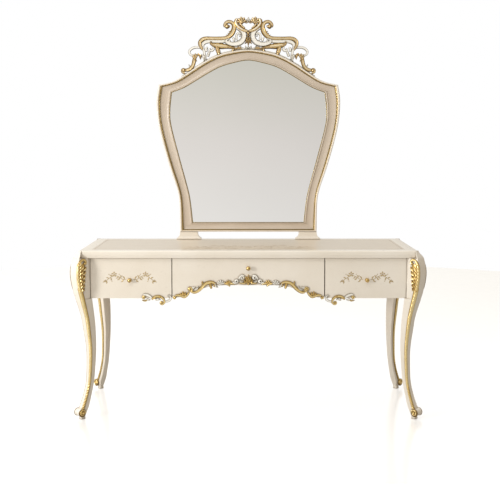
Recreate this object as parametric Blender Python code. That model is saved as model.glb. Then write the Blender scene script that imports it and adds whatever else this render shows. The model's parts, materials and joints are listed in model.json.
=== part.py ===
"""Dressing table with three drawers, four cabriole legs and a fixed mirror with a carved crest.

Metres, +Z up. The front faces -Y and +X is to the right of somebody who stands in front of it.
The origin is on the floor, in the middle of the footprint.
"""

import math

import bmesh
import bpy
from mathutils import Vector

# ---------------------------------------------------------------- driving dimensions

GAP = 0.0003                    # joint gap between pieces that touch

TABLE_HEIGHT = 0.780
TOP_HALF_X = 0.777              # the top's outline, before its corners are canted
TOP_HALF_Y = 0.259
TOP_THICKNESS = 0.034
TOP_CANT = 0.014                # how much of each edge the canted corner takes
BORDER_WIDTH = 0.052
PANEL_THICKNESS = 0.024

CASE_HALF_X = 0.757             # outer faces of the side aprons
CASE_HALF_Y = 0.235             # drawer front plane, and outer face of the back apron
CASE_BOTTOM = 0.558
APRON_THICKNESS = 0.020
POST_X = 0.727                  # inner faces of the legs' square posts
POST_Y = 0.190
FRONT_THICKNESS = 0.022
FRONT_TOP = 0.744
FRONT_GAP = 0.004               # between one drawer front and the next
DIVIDER_X = 0.3514              # middle of each divider, behind the gap between the fronts
DIVIDER_THICKNESS = 0.018
RAIL_HEIGHT = 0.020
RAIL_BACK_Y = -0.1925           # back face of the rail over the drawers
DIVIDER_RISE = 0.004            # from the case's bottom to a divider's lower edge
BORDER_BACK_NOTCH = 0.2047      # where a divider is cut away for the back border
CORNER_BLOCK_REACH = 0.040      # along each of the two boards that it joins
CORNER_BLOCK_RISE = 0.005       # above the drawer boxes

BOX_BACK_Y = 0.170              # back of the drawer boxes
BOX_TOP = 0.705
BOX_WALL = 0.012
BOX_CLEARANCE = 0.001
PANEL_GROOVE = 0.005            # depth of the grooves that hold the drawer bottoms
DRAWER_PANEL = 0.006
RUNNER_HEIGHT = 0.012
RUNNER_SHELF = 0.015            # how far a runner reaches under the drawer side
GUIDE_HEIGHT = 0.025            # of the guide beside the drawer side, above the shelf
GUIDE_CLEARANCE = 0.001
SIDE_LET_IN = 0.006             # how deep a drawer side is let into its front
GROOVE_RISE = 0.010             # from a drawer side's lower edge to its groove
KNOB_HOLE_RADIUS = 0.0025

KNOB_RADIUS = 0.0095
CARVING_DEPTH = 0.015

MIRROR_FRONT_Y = 0.213
MIRROR_BACK_Y = 0.243
GLASS_THICKNESS = 0.004
BACKBOARD_THICKNESS = 0.006
FRAME_BOTTOM = 0.8185
CREST_FRONT_Y = 0.216
CREST_BACK_Y = 0.236

UNDER_TOP = TABLE_HEIGHT - TOP_THICKNESS
CASE_TOP = UNDER_TOP - GAP
UNDER_PANEL = TABLE_HEIGHT - PANEL_THICKNESS - GAP
FRONT_BACK_Y = -CASE_HALF_Y + FRONT_THICKNESS
RAIL_BOTTOM = CASE_TOP - RAIL_HEIGHT

# Finishes: linear colour, roughness, metallic.
LACQUER = ("lacquer", (0.80, 0.72, 0.60), 0.35, 0.0)
VENEER = ("veneer", (0.78, 0.69, 0.56), 0.32, 0.0)
GILDING = ("gilding", (0.72, 0.47, 0.14), 0.35, 0.9)
BRASS = ("brass", (0.62, 0.45, 0.20), 0.30, 1.0)
STEEL = ("steel", (0.55, 0.55, 0.56), 0.40, 1.0)
DRAWER_WOOD = ("drawer_wood", (0.58, 0.40, 0.22), 0.60, 0.0)
BACKING = ("backing", (0.30, 0.20, 0.12), 0.75, 0.0)
MIRROR = ("mirror", (0.85, 0.86, 0.86), 0.03, 1.0)

# ---------------------------------------------------------------- helpers


def clear_scene():
    for obj in list(bpy.data.objects):
        bpy.data.objects.remove(obj, do_unlink=True)


def make_material(name, finish):
    kind, colour, roughness, metallic = finish
    material = bpy.data.materials.new(name + "_" + kind)
    material.use_nodes = True
    shader = material.node_tree.nodes["Principled BSDF"]
    shader.inputs["Base Color"].default_value = (*colour, 1.0)
    shader.inputs["Roughness"].default_value = roughness
    shader.inputs["Metallic"].default_value = metallic
    return material


def make_object(name, bm, finish, origin=(0, 0, 0), parent=None, smooth=False):
    """Turn world-space geometry into an object whose own origin is at the given place."""
    bmesh.ops.recalc_face_normals(bm, faces=bm.faces)
    bmesh.ops.translate(bm, verts=bm.verts, vec=-Vector(origin))
    mesh = bpy.data.meshes.new(name)
    bm.to_mesh(mesh)
    bm.free()
    if smooth:
        mesh.shade_smooth()
        mesh.set_sharp_from_angle(angle=math.radians(35))
    if finish:
        mesh.materials.append(make_material(name, finish))
    obj = bpy.data.objects.new(name, mesh)
    bpy.context.scene.collection.objects.link(obj)
    obj.location = Vector(origin)
    if parent:
        obj.parent = parent
        obj.location -= parent.location
    return obj


def make_empty(name, location):
    empty = bpy.data.objects.new(name, None)
    empty.location = location
    bpy.context.scene.collection.objects.link(empty)
    return empty


def box(low, high):
    bm = bmesh.new()
    bmesh.ops.create_cube(bm, size=1)
    for vert in bm.verts:
        vert.co = Vector([a + (b - a) * (c + 0.5) for a, b, c in zip(low, high, vert.co)])
    return bm


def prism(outline, axis, low, high):
    """Extrude a flat outline. Its two coordinates are the axes left when the given one is taken out."""
    bm = bmesh.new()
    place = {"X": lambda a, b: (low, a, b), "Y": lambda a, b: (a, low, b), "Z": lambda a, b: (a, b, low)}
    verts = [bm.verts.new(place[axis](a, b)) for a, b in outline]
    face = bm.faces.new(verts)
    grown = bmesh.ops.extrude_face_region(bm, geom=[face])
    moved = [item for item in grown["geom"] if isinstance(item, bmesh.types.BMVert)]
    shift = Vector([high - low if letter == axis else 0 for letter in "XYZ"])
    bmesh.ops.translate(bm, verts=moved, vec=shift)
    return bm


def loft(rings):
    """Skin a row of rings that have the same number of points, and cap the ends."""
    bm = bmesh.new()
    rows = [[bm.verts.new(point) for point in ring] for ring in rings]
    count = len(rows[0])
    for below, above in zip(rows, rows[1:]):
        for i in range(count):
            j = (i + 1) % count
            bm.faces.new((below[i], below[j], above[j], above[i]))
    bm.faces.new(rows[0])
    bm.faces.new(rows[-1])
    return bm


def turned(profile, centre, segments=16):
    """Turn a profile of (radius, distance forward) points about the line through centre along -Y."""
    bm = bmesh.new()
    verts = [bm.verts.new((radius, -forward, 0)) for radius, forward in profile]
    edges = [bm.edges.new(pair) for pair in zip(verts, verts[1:])]
    bmesh.ops.spin(bm, geom=verts + edges, cent=(0, 0, 0), axis=(0, 1, 0), angle=math.tau, steps=segments)
    bmesh.ops.remove_doubles(bm, verts=bm.verts, dist=0.00001)
    bmesh.ops.translate(bm, verts=bm.verts, vec=Vector(centre))
    return bm


def drum(centre, radius, low, high, segments=20):
    """Round disc whose axis runs along Y."""
    turns = [math.tau * i / segments for i in range(segments)]
    rim = [(centre[0] + radius * math.cos(a), centre[1] + radius * math.sin(a)) for a in turns]
    return prism(rim, "Y", low, high)


def combine(base, tools, operation):
    """Join the tools' shapes to the base, or cut them out of it, and remove them."""
    for tool_bm in tools:
        tool = make_object("tool", tool_bm, None)
        tool.hide_render = True
        tool.display_type = "WIRE"
        modifier = base.modifiers.new("shape", "BOOLEAN")
        modifier.object = tool
        modifier.operation = operation
        modifier.solver = "EXACT"
        graph = bpy.context.evaluated_depsgraph_get()
        result = bpy.data.meshes.new_from_object(base.evaluated_get(graph))
        base.modifiers.clear()
        base.data = result
        bpy.data.objects.remove(tool, do_unlink=True)
    return base


def spline(points, steps):
    """Smooth curve through the points (Catmull-Rom), with the ends kept."""
    points = [Vector(point) for point in points]
    ends = [points[0] * 2 - points[1]] + points + [points[-1] * 2 - points[-2]]
    curve = []
    for before, start, end, after in zip(ends, ends[1:], ends[2:], ends[3:]):
        for step in range(steps):
            t = step / steps
            curve.append(0.5 * (2 * start + (end - before) * t
                                + (2 * before - 5 * start + 4 * end - after) * t ** 2
                                + (3 * start - before - 3 * end + after) * t ** 3))
    curve.append(points[-1])
    return curve


def resample(points, count):
    """Spread points evenly along a line of points."""
    lengths = [0.0]
    for a, b in zip(points, points[1:]):
        lengths.append(lengths[-1] + (b - a).length)
    spread = []
    for i in range(count):
        target = lengths[-1] * i / (count - 1)
        k = max(1, next(n for n, length in enumerate(lengths) if length >= target - 1e-9))
        span = lengths[k] - lengths[k - 1]
        spread.append(points[k - 1].lerp(points[k], (target - lengths[k - 1]) / span))
    return spread


def ribbon(stations, steps=3):
    """Outline of a band that follows (x, z, half width) stations."""
    path = spline(stations, steps)
    left, right = [], []
    for i, point in enumerate(path):
        ahead = path[min(i + 1, len(path) - 1)] - path[max(i - 1, 0)]
        across = Vector((-ahead.y, ahead.x)).normalized() * point.z
        left.append((point.x + across.x, point.y + across.y))
        right.append((point.x - across.x, point.y - across.y))
    return left + right[::-1]


def mirrored(outline):
    return [(-a, b) for a, b in reversed(outline)]


# ---------------------------------------------------------------- the top


def edge_moulding():
    """Section of the border: distance in from the outer edge, and height.

    It starts and ends its moulded part under and on the line where the canted corner meets the mitre.
    """
    cove = [(0.006, UNDER_TOP + 0.010), (0.004, UNDER_TOP + 0.014), (0, UNDER_TOP + 0.017)]
    bead = [(TOP_CANT / 2, UNDER_TOP), (0.004, UNDER_TOP), (0.002, UNDER_TOP + 0.002),
            (0.002, UNDER_TOP + 0.008)]
    rounding = TOP_CANT / 2
    round_over = []
    for step in range(5):
        angle = math.radians(90 * step / 4)
        round_over.append((rounding * (1 - math.cos(angle)), TABLE_HEIGHT - rounding * (1 - math.sin(angle))))
    inner = BORDER_WIDTH - GAP / 2
    return bead + cove + round_over + [(inner, TABLE_HEIGHT), (inner, UNDER_TOP)]


def border(name, along, side):
    """One border piece, mitred at both ends, with the table's canted corners cut off it."""
    half_length, half_depth = (TOP_HALF_X, TOP_HALF_Y) if along == "X" else (TOP_HALF_Y, TOP_HALF_X)
    bm = bmesh.new()
    rings = []
    for end in (-1, 1):
        ring = []
        for inset, height in edge_moulding():
            mitre = half_length - inset - GAP / math.sqrt(2)
            cant = half_length - TOP_CANT + inset
            length, depth = end * min(mitre, cant), side * (half_depth - inset)
            ring.append(bm.verts.new((length, depth, height) if along == "X" else (depth, length, height)))
        rings.append(ring)
        bm.faces.new(ring[:-2])
        bm.faces.new((ring[0], ring[-3], ring[-2], ring[-1]))
    count = len(rings[0])
    for i in range(count):
        j = (i + 1) % count
        bm.faces.new((rings[0][i], rings[0][j], rings[1][j], rings[1][i]))
    origin = (0, side * TOP_HALF_Y, UNDER_TOP) if along == "X" else (side * TOP_HALF_X, 0, UNDER_TOP)
    make_object(name, bm, LACQUER, origin)


def build_top():
    half_x = TOP_HALF_X - BORDER_WIDTH - GAP / 2
    half_y = TOP_HALF_Y - BORDER_WIDTH - GAP / 2
    low = TABLE_HEIGHT - PANEL_THICKNESS
    panel = box((-half_x, -half_y, low), (half_x, half_y, TABLE_HEIGHT))
    make_object("top_panel", panel, VENEER, (0, 0, TABLE_HEIGHT))
    border("top_border_front", "X", -1)
    border("top_border_back", "X", 1)
    border("top_border_left", "Y", -1)
    border("top_border_right", "Y", 1)


# ---------------------------------------------------------------- the legs

# Each leg bends in an upright plane at 45 degrees through the top's corner. Its square section has its
# outer face across that plane. Stations: height, distance of the section's middle outside the corner,
# half of its side.
LEG_SHAFT = [
    (0.0180, -0.0160, 0.0115), (0.0420, -0.0195, 0.0160), (0.0630, -0.0284, 0.0163),
    (0.1005, -0.0420, 0.0146), (0.1564, -0.0574, 0.0140), (0.2120, -0.0640, 0.0147),
    (0.3140, -0.0679, 0.0170), (0.4160, -0.0586, 0.0212), (0.4718, -0.0503, 0.0228),
    (0.5500, -0.0310, 0.0276), (0.6000, -0.0186, 0.0297), (0.6600, -0.0085, 0.0308),
    (0.7050, -0.0090, 0.0304), (0.7300, -0.0110, 0.0282),
]
LEG_UNDER_TOP = (CASE_TOP, -0.01275, 0.02625)
# The shoulder beside the canted corner: height, distance of its outer face outside the corner, half width.
LEG_SHOULDER = [(0.7550, 0.0079, 0.0239), (0.7630, 0.0020, 0.0180), (0.7710, -0.0032, 0.0125),
                (TABLE_HEIGHT, -0.0064, 0.0105)]
LEG_CHAMFER = 0.0030
FOOT_ROLL = {"out": -0.0021, "height": 0.032, "radius": 0.018, "half_width": 0.0195}
FOOT_PAD = {"out": -0.0141, "half": 0.0115, "height": 0.020}
POST_OVERLAP = 0.0001           # of the box that trims a leg flush with its post
# Tenons of the boards that the posts hold: their lengths, and their ranges as distances from the middle.
TENON_LENGTH = 0.012
SIDE_TENON_LENGTH = 0.020
TENON_ROOT = 0.010
TENON_LOW, TENON_HIGH = 0.600, 0.710
SIDE_TENON_X = (0.742, 0.752)
BACK_TENON_Y = (0.220, 0.230)
RAIL_TENON_Y = (0.1975, 0.2075)
RAIL_SHOULDER = 0.002
MORTISE_MOUTH = 0.001           # how far a mortise's cutter stands out of its post


def leg_point(side_x, side_y, out, across, height):
    """A place given by its distance out along the diagonal from the corner, and across it."""
    x = TOP_HALF_X + (out + across) / math.sqrt(2)
    y = TOP_HALF_Y + (out - across) / math.sqrt(2)
    return Vector((side_x * x, side_y * y, height))


def leg_body(side_x, side_y):
    """The shaft, with a ledge under the top, and the shoulder that rises outside the canted corner."""
    inner_shoulder = -TOP_CANT / math.sqrt(2) + GAP
    bm = bmesh.new()

    def ring(height, inner, middle, outer, half, with_inner=True):
        chamfer = min(LEG_CHAMFER, half / 3)
        corners = [(middle, half), (outer - chamfer, half), (outer, half - chamfer)]
        places = corners + [(out, -across) for out, across in reversed(corners)]
        if with_inner:
            places = [(inner, half)] + places + [(inner, -half)]
        return [bm.verts.new(leg_point(side_x, side_y, out, across, height)) for out, across in places]

    def skin(below, above):
        for i in range(len(below)):
            j = (i + 1) % len(below)
            bm.faces.new((below[i], below[j], above[j], above[i]))

    stations = spline(LEG_SHAFT, 2)[:-1] + [Vector(LEG_SHAFT[-1])]
    rings = [ring(z, out - half, out, out + half, half) for z, out, half in stations]
    top_z, top_out, top_half = LEG_UNDER_TOP
    rings.append(ring(top_z, top_out - top_half, inner_shoulder, top_out + top_half, top_half))
    for below, above in zip(rings, rings[1:]):
        skin(below, above)
    bm.faces.new(rings[0])
    ledge = rings[-1]
    bm.faces.new((ledge[0], ledge[1], ledge[-2], ledge[-1]))
    below = ledge[1:-1]
    for height, outer, half in LEG_SHOULDER:
        above = ring(height, None, inner_shoulder, outer, half, with_inner=False)
        skin(below, above)
        below = above
    bm.faces.new(below)
    return bm


def foot_roll(side_x, side_y, segments=20):
    """The scroll of the foot: a short roll lying across the leg."""
    rings = []
    for across in (-FOOT_ROLL["half_width"], FOOT_ROLL["half_width"]):
        ring = []
        for i in range(segments):
            angle = math.tau * i / segments
            out = FOOT_ROLL["out"] + FOOT_ROLL["radius"] * math.cos(angle)
            height = FOOT_ROLL["height"] + FOOT_ROLL["radius"] * math.sin(angle)
            ring.append(leg_point(side_x, side_y, out, across, height))
        rings.append(ring)
    return loft(rings)


def foot_pad(side_x, side_y):
    half, out = FOOT_PAD["half"], FOOT_PAD["out"]
    rings = []
    for height, grow in ((0.0, -0.001), (0.002, 0.0), (0.012, 0.0), (FOOT_PAD["height"], -0.001)):
        size = half + grow
        corners = [(-size, -size), (size, -size), (size, size), (-size, size)]
        rings.append([leg_point(side_x, side_y, out + a, b, height) for a, b in corners])
    return loft(rings)


def span(side, low, high):
    """Two distances from the centre line as a rising pair on the given side."""
    return sorted((side * low, side * high))


def wider(limits):
    """A mortise's range: its tenon's, with the joint gap on both sides."""
    return limits[0] - GAP, limits[1] + GAP


def signed_box(side_x, side_y, x_range, y_range, z_range):
    x0, x1 = span(side_x, *x_range)
    y0, y1 = span(side_y, *y_range)
    return box((x0, y0, z_range[0]), (x1, y1, z_range[1]))


def build_leg(name, side_x, side_y):
    leg = make_object(name, leg_body(side_x, side_y), LACQUER)
    post = signed_box(side_x, side_y, (POST_X, CASE_HALF_X), (POST_Y, CASE_HALF_Y), (CASE_BOTTOM, CASE_TOP))
    combine(leg, [post, foot_roll(side_x, side_y), foot_pad(side_x, side_y)], "UNION")
    trim = signed_box(side_x, side_y, (POST_X - APRON_THICKNESS, POST_X + POST_OVERLAP),
                      (POST_Y - APRON_THICKNESS, TOP_HALF_Y), (CASE_BOTTOM - GAP, TABLE_HEIGHT + GAP))
    combine(leg, [trim], "DIFFERENCE")

    side_mortise = signed_box(side_x, side_y, wider(SIDE_TENON_X),
                              (POST_Y - MORTISE_MOUTH, POST_Y + SIDE_TENON_LENGTH + GAP),
                              wider((TENON_LOW, TENON_HIGH)))
    if side_y < 0:
        end_y, end_z = RAIL_TENON_Y, (RAIL_BOTTOM + RAIL_SHOULDER, CASE_TOP - RAIL_SHOULDER)
    else:
        end_y, end_z = BACK_TENON_Y, (TENON_LOW, TENON_HIGH)
    end_mortise = signed_box(side_x, side_y, (POST_X - MORTISE_MOUTH, POST_X + TENON_LENGTH + GAP),
                             wider(end_y), wider(end_z))
    combine(leg, [side_mortise, end_mortise], "DIFFERENCE")

    pad = leg_point(side_x, side_y, FOOT_PAD["out"], 0, 0)
    leg.data.transform(leg.matrix_world.Translation(-pad))
    leg.location = pad
    leg.data.shade_smooth()
    leg.data.set_sharp_from_angle(angle=math.radians(35))


# ---------------------------------------------------------------- the case


def build_side_apron(name, side):
    inner = CASE_HALF_X - APRON_THICKNESS
    half_length = POST_Y - GAP
    x0, x1 = span(side, inner, CASE_HALF_X)
    apron = make_object(name, box((x0, -half_length, CASE_BOTTOM), (x1, half_length, CASE_TOP)), LACQUER,
                        (side * CASE_HALF_X, 0, CASE_BOTTOM))
    tenons = []
    for end in (-1, 1):
        tenons.append(signed_box(side, end, SIDE_TENON_X, (POST_Y - TENON_ROOT, POST_Y + SIDE_TENON_LENGTH),
                                 (TENON_LOW, TENON_HIGH)))
    combine(apron, tenons, "UNION")


def build_back_apron():
    inner = CASE_HALF_Y - APRON_THICKNESS
    half_length = POST_X - GAP
    apron = make_object("back_apron", box((-half_length, inner, CASE_BOTTOM),
                                          (half_length, CASE_HALF_Y, CASE_TOP)), LACQUER,
                        (0, CASE_HALF_Y, CASE_BOTTOM))
    tenons = [signed_box(end, 1, (POST_X - TENON_ROOT, POST_X + TENON_LENGTH), BACK_TENON_Y,
                         (TENON_LOW, TENON_HIGH)) for end in (-1, 1)]
    combine(apron, tenons, "UNION")


def build_front_rail():
    half_length = POST_X - GAP
    front = FRONT_BACK_Y + GAP
    rail = make_object("front_rail", box((-half_length, front, RAIL_BOTTOM),
                                         (half_length, RAIL_BACK_Y, CASE_TOP)),
                       DRAWER_WOOD, (0, front, RAIL_BOTTOM))
    tenons = [signed_box(end, -1, (POST_X - TENON_ROOT, POST_X + TENON_LENGTH), RAIL_TENON_Y,
                         (RAIL_BOTTOM + RAIL_SHOULDER, CASE_TOP - RAIL_SHOULDER)) for end in (-1, 1)]
    combine(rail, tenons, "UNION")


def build_divider(name, side):
    """Upright board between two drawers, notched round the front rail and the back border."""
    front, back = FRONT_BACK_Y + GAP, CASE_HALF_Y - APRON_THICKNESS - GAP
    notch_front = RAIL_BACK_Y + GAP
    bottom = CASE_BOTTOM + DIVIDER_RISE
    outline = [(front, bottom), (back, bottom), (back, CASE_TOP), (BORDER_BACK_NOTCH, CASE_TOP),
               (BORDER_BACK_NOTCH, UNDER_PANEL), (notch_front, UNDER_PANEL),
               (notch_front, RAIL_BOTTOM - GAP), (front, RAIL_BOTTOM - GAP)]
    x0, x1 = span(side, DIVIDER_X - DIVIDER_THICKNESS / 2, DIVIDER_X + DIVIDER_THICKNESS / 2)
    make_object(name, prism(outline, "X", x0, x1), DRAWER_WOOD, (side * DIVIDER_X, front, bottom))


def build_runner(name, wall_x, drawer_x, shelf_top, front, back):
    """L-shaped runner on a wall: a shelf under the drawer side and a guide beside it."""
    inward = 1 if drawer_x > wall_x else -1
    shelf_edge = drawer_x + inward * RUNNER_SHELF
    guide = drawer_x - inward * GUIDE_CLEARANCE
    bottom, guide_top = shelf_top - RUNNER_HEIGHT, shelf_top + GUIDE_HEIGHT
    outline = [(wall_x, bottom), (shelf_edge, bottom), (shelf_edge, shelf_top)]
    if abs(guide - wall_x) > 2 * GUIDE_CLEARANCE:
        outline += [(guide, shelf_top), (guide, guide_top), (wall_x, guide_top)]
    else:
        outline.append((wall_x, shelf_top))
    make_object(name, prism(outline, "Y", front, back), DRAWER_WOOD, (wall_x, front, bottom))


def build_corner_block(name, side_x, side_y):
    """Triangular block glued into the corner of the case, under the top."""
    if side_y < 0:
        corner_x, corner_y = CASE_HALF_X - APRON_THICKNESS - GAP, POST_Y - GAP
    else:
        corner_x, corner_y = POST_X - GAP, CASE_HALF_Y - APRON_THICKNESS - GAP
    short_x, short_y = corner_x - CORNER_BLOCK_REACH, corner_y - CORNER_BLOCK_REACH
    outline = [(side_x * corner_x, side_y * corner_y), (side_x * short_x, side_y * corner_y),
               (side_x * corner_x, side_y * short_y)]
    bm = prism(outline, "Z", BOX_TOP + CORNER_BLOCK_RISE, CASE_TOP)
    make_object(name, bm, DRAWER_WOOD, (side_x * corner_x, side_y * corner_y, CASE_TOP))


def build_case():
    for side, word in ((-1, "left"), (1, "right")):
        build_side_apron("side_apron_" + word, side)
        build_divider("divider_" + word, side)
        build_corner_block("corner_block_front_" + word, side, -1)
        build_corner_block("corner_block_back_" + word, side, 1)
        apron_x = side * (CASE_HALF_X - APRON_THICKNESS - GAP)
        outer_x = side * (DIVIDER_X + DIVIDER_THICKNESS / 2 + GAP)
        inner_x = side * (DIVIDER_X - DIVIDER_THICKNESS / 2 - GAP)
        side_shelf, centre_shelf = SIDE_BOX_BOTTOM - GAP, CENTRE_BOX_BOTTOM - GAP
        whole = (FRONT_BACK_Y + GAP, CASE_HALF_Y - APRON_THICKNESS - GAP)
        between_posts = (-POST_Y + GAP, POST_Y - GAP)
        build_runner("runner_" + word + "_outer", apron_x, side * SIDE_BOX[1], side_shelf, *between_posts)
        build_runner("runner_" + word + "_inner", outer_x, side * SIDE_BOX[0], side_shelf, *whole)
        build_runner("runner_centre_" + word, inner_x, side * CENTRE_BOX_HALF, centre_shelf, *whole)
    build_back_apron()
    build_front_rail()


# ---------------------------------------------------------------- the drawers

SIDE_BOX = (DIVIDER_X + DIVIDER_THICKNESS / 2 + BOX_CLEARANCE, POST_X - 0.0015)
SIDE_BOX_BOTTOM = 0.585
CENTRE_BOX_HALF = DIVIDER_X - DIVIDER_THICKNESS / 2 - BOX_CLEARANCE
CENTRE_BOX_BOTTOM = 0.6355
SIDE_FRONT = (DIVIDER_X + FRONT_GAP / 2, POST_X - 0.0015)
CENTRE_FRONT_HALF = DIVIDER_X - FRONT_GAP / 2
ARCH_TOP = 0.618
# Lower edge of the centre front's right half, from the middle outwards.
ARCH = [(0.0, ARCH_TOP), (0.100, ARCH_TOP), (0.160, 0.615), (0.200, 0.606), (0.267, 0.585), (0.300, 0.566),
        (CENTRE_FRONT_HALF, CASE_BOTTOM)]
SIDE_KNOB = (0.545, 0.643)
CENTRE_KNOB = (0.0, 0.698)

# Carved scrolls under the fronts: x, z, half width, for the right-hand side.
SIDE_CARVING = [(0.503, 0.5510, 0.004), (0.494, 0.5530, 0.009), (0.476, 0.5590, 0.008),
                (0.458, 0.5620, 0.009), (0.441, 0.5530, 0.008), (0.424, 0.5490, 0.011),
                (0.405, 0.5490, 0.013), (0.390, 0.5390, 0.013), (0.376, 0.5380, 0.010),
                (0.367, 0.5500, 0.007), (0.361, 0.5620, 0.005)]
CENTRE_CARVING = [(0.000, 0.6400, 0.022), (0.029, 0.6380, 0.016), (0.054, 0.6320, 0.013),
                  (0.090, 0.6280, 0.010), (0.125, 0.6320, 0.014), (0.150, 0.6260, 0.011),
                  (0.172, 0.6160, 0.014), (0.220, 0.6030, 0.010), (0.245, 0.5930, 0.010),
                  (0.267, 0.5920, 0.011), (0.285, 0.5800, 0.010), (0.305, 0.5680, 0.009),
                  (0.325, 0.5600, 0.007), (0.341, 0.5530, 0.005)]


def knob_profile():
    """From the bore's blind end, out at its mouth, over the collar and round the ball."""
    bore, bore_depth = 0.0021, 0.012
    ball_centre = 0.0165
    start = math.radians(-62)
    ball = []
    for step in range(8):
        angle = start + (math.pi / 2 - start) * step / 7
        ball.append((KNOB_RADIUS * math.cos(angle), ball_centre + KNOB_RADIUS * math.sin(angle)))
    ball[-1] = (0.0, ball_centre + KNOB_RADIUS)
    collar = [(0.0062, 0.0), (0.0066, 0.0022), (0.0040, 0.0045)]
    return [(0.0, bore_depth), (bore, bore_depth), (bore, 0.0)] + collar + ball


def screw_profile():
    """Knob screw, from its head's slot side to its tip."""
    head_back = -FRONT_THICKNESS - GAP
    return [(0.0, head_back - 0.003), (0.0035, head_back - 0.003), (0.0045, head_back - 0.001),
            (0.0045, head_back), (0.0018, head_back), (0.0018, 0.0105), (0.0, 0.0115)]


def build_box(name, slide, x0, x1, bottom):
    """Drawer box: two grooved sides let into the front, a back, and a bottom in the grooves."""
    groove_low = bottom + GROOVE_RISE
    groove_high = groove_low + DRAWER_PANEL + 2 * GAP
    side_front = FRONT_BACK_Y - SIDE_LET_IN
    for word, outer, inward in (("left", x0, 1), ("right", x1, -1)):
        inner = outer + inward * BOX_WALL
        deep = inner - inward * PANEL_GROOVE
        outline = [(outer, bottom), (inner, bottom), (inner, groove_low), (deep, groove_low),
                   (deep, groove_high), (inner, groove_high), (inner, BOX_TOP), (outer, BOX_TOP)]
        bm = prism(outline, "Y", side_front, BOX_BACK_Y)
        make_object(name + "_side_" + word, bm, DRAWER_WOOD, (outer, side_front, bottom), slide)
    wall = BOX_WALL + GAP
    back = box((x0 + wall, BOX_BACK_Y - BOX_WALL, groove_high), (x1 - wall, BOX_BACK_Y, BOX_TOP))
    make_object(name + "_back", back, DRAWER_WOOD, ((x0 + x1) / 2, BOX_BACK_Y, groove_high), slide)
    reach = wall - PANEL_GROOVE
    panel = box((x0 + reach, FRONT_BACK_Y - PANEL_GROOVE + GAP, groove_low + GAP),
                (x1 - reach, BOX_BACK_Y, groove_high - GAP))
    make_object(name + "_bottom", panel, DRAWER_WOOD, ((x0 + x1) / 2, FRONT_BACK_Y, groove_low), slide)
    dados = [box((x - GAP, side_front - GAP, bottom - GAP), (x + BOX_WALL + GAP, FRONT_BACK_Y + 0.001,
                                                            BOX_TOP + GAP)) for x in (x0, x1 - BOX_WALL)]
    slot = box((x0 + BOX_WALL - 0.001, FRONT_BACK_Y - PANEL_GROOVE, groove_low),
               (x1 - BOX_WALL + 0.001, FRONT_BACK_Y + 0.001, groove_high))
    return dados + [slot]


def build_drawer(name, front_outline, box_x, box_bottom, knob, carving_outline):
    slide = make_empty(name + "_slide", (knob[0], -CASE_HALF_Y, knob[1]))
    front_bm = prism(front_outline, "Y", -CASE_HALF_Y, FRONT_BACK_Y)
    front = make_object(name + "_front", front_bm, LACQUER)
    cutters = build_box(name, slide, box_x[0], box_x[1], box_bottom)
    hole = drum(knob, KNOB_HOLE_RADIUS, -CASE_HALF_Y - 0.001, FRONT_BACK_Y + 0.001, segments=12)
    combine(front, cutters + [hole], "DIFFERENCE")
    front.data.transform(front.matrix_world.Translation(-slide.location))
    front.parent = slide

    knob_place = (knob[0], -CASE_HALF_Y - GAP, knob[1])
    make_object(name + "_knob", turned(knob_profile(), knob_place), BRASS, knob_place, slide, smooth=True)
    screw_place = (knob[0], -CASE_HALF_Y, knob[1])
    screw = turned(screw_profile(), screw_place, 10)
    make_object(name + "_screw", screw, STEEL, screw_place, slide, smooth=True)
    carving = prism(carving_outline, "Y", -CASE_HALF_Y - GAP - CARVING_DEPTH, -CASE_HALF_Y - GAP)
    make_object(name + "_carving", carving, GILDING, knob_place, slide)


def build_drawers():
    low, high = SIDE_FRONT
    side_outline = [(low, CASE_BOTTOM), (high, CASE_BOTTOM), (high, FRONT_TOP), (low, FRONT_TOP)]
    side_carving = ribbon(SIDE_CARVING, 2)
    build_drawer("drawer_right", side_outline, SIDE_BOX, SIDE_BOX_BOTTOM, SIDE_KNOB, side_carving)
    build_drawer("drawer_left", mirrored(side_outline), (-SIDE_BOX[1], -SIDE_BOX[0]), SIDE_BOX_BOTTOM,
                 (-SIDE_KNOB[0], SIDE_KNOB[1]), mirrored(side_carving))

    right = [tuple(point) for point in spline(ARCH, 3)]
    arch = mirrored(right)[:-1] + right
    corners = [(CENTRE_FRONT_HALF, FRONT_TOP), (-CENTRE_FRONT_HALF, FRONT_TOP)]
    whole = [(-x, z, half) for x, z, half in reversed(CENTRE_CARVING[1:])] + CENTRE_CARVING
    build_drawer("drawer_centre", arch + corners, (-CENTRE_BOX_HALF, CENTRE_BOX_HALF), CENTRE_BOX_BOTTOM,
                 CENTRE_KNOB, ribbon(whole, 2))


# ---------------------------------------------------------------- the mirror

# Right half of the frame's outer outline and of the glass opening, from the middle of the top to the
# shoulder, and from the shoulder down to the bottom rail.
OUTER_TOP = [(0.0, 1.744), (0.115, 1.728), (0.182, 1.704), (0.248, 1.667), (0.313, 1.623), (0.378, 1.585),
             (0.455, 1.566)]
INNER_TOP = [(0.0, 1.692), (0.080, 1.678), (0.145, 1.658), (0.210, 1.6235), (0.276, 1.583), (0.330, 1.552),
             (0.391, 1.529)]
OUTER_SIDE = [(0.455, 1.566), (0.466, 1.477), (0.453, 1.346), (0.408, 1.173), (0.363, 1.036),
              (0.3510, 0.960), (0.3486, FRAME_BOTTOM)]
INNER_SIDE = [(0.391, 1.529), (0.400, 1.440), (0.394, 1.359), (0.351, 1.189), (0.3085, 1.032),
              (0.296, 0.960), (0.286, 0.865)]
FRAME_SECTION = [(0.0, 0.0300), (0.0, 0.0085), (0.003, 0.0035), (0.008, 0.0010), (0.013, 0.0040),
                 (0.022, 0.0095), (0.040, 0.0115), (0.052, 0.0090), (0.056, 0.0105), (0.0600, 0.0135),
                 (0.0480, 0.0135), (0.0480, 0.0300)]
FRAME_SECTION_WIDTH = 0.060
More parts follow.
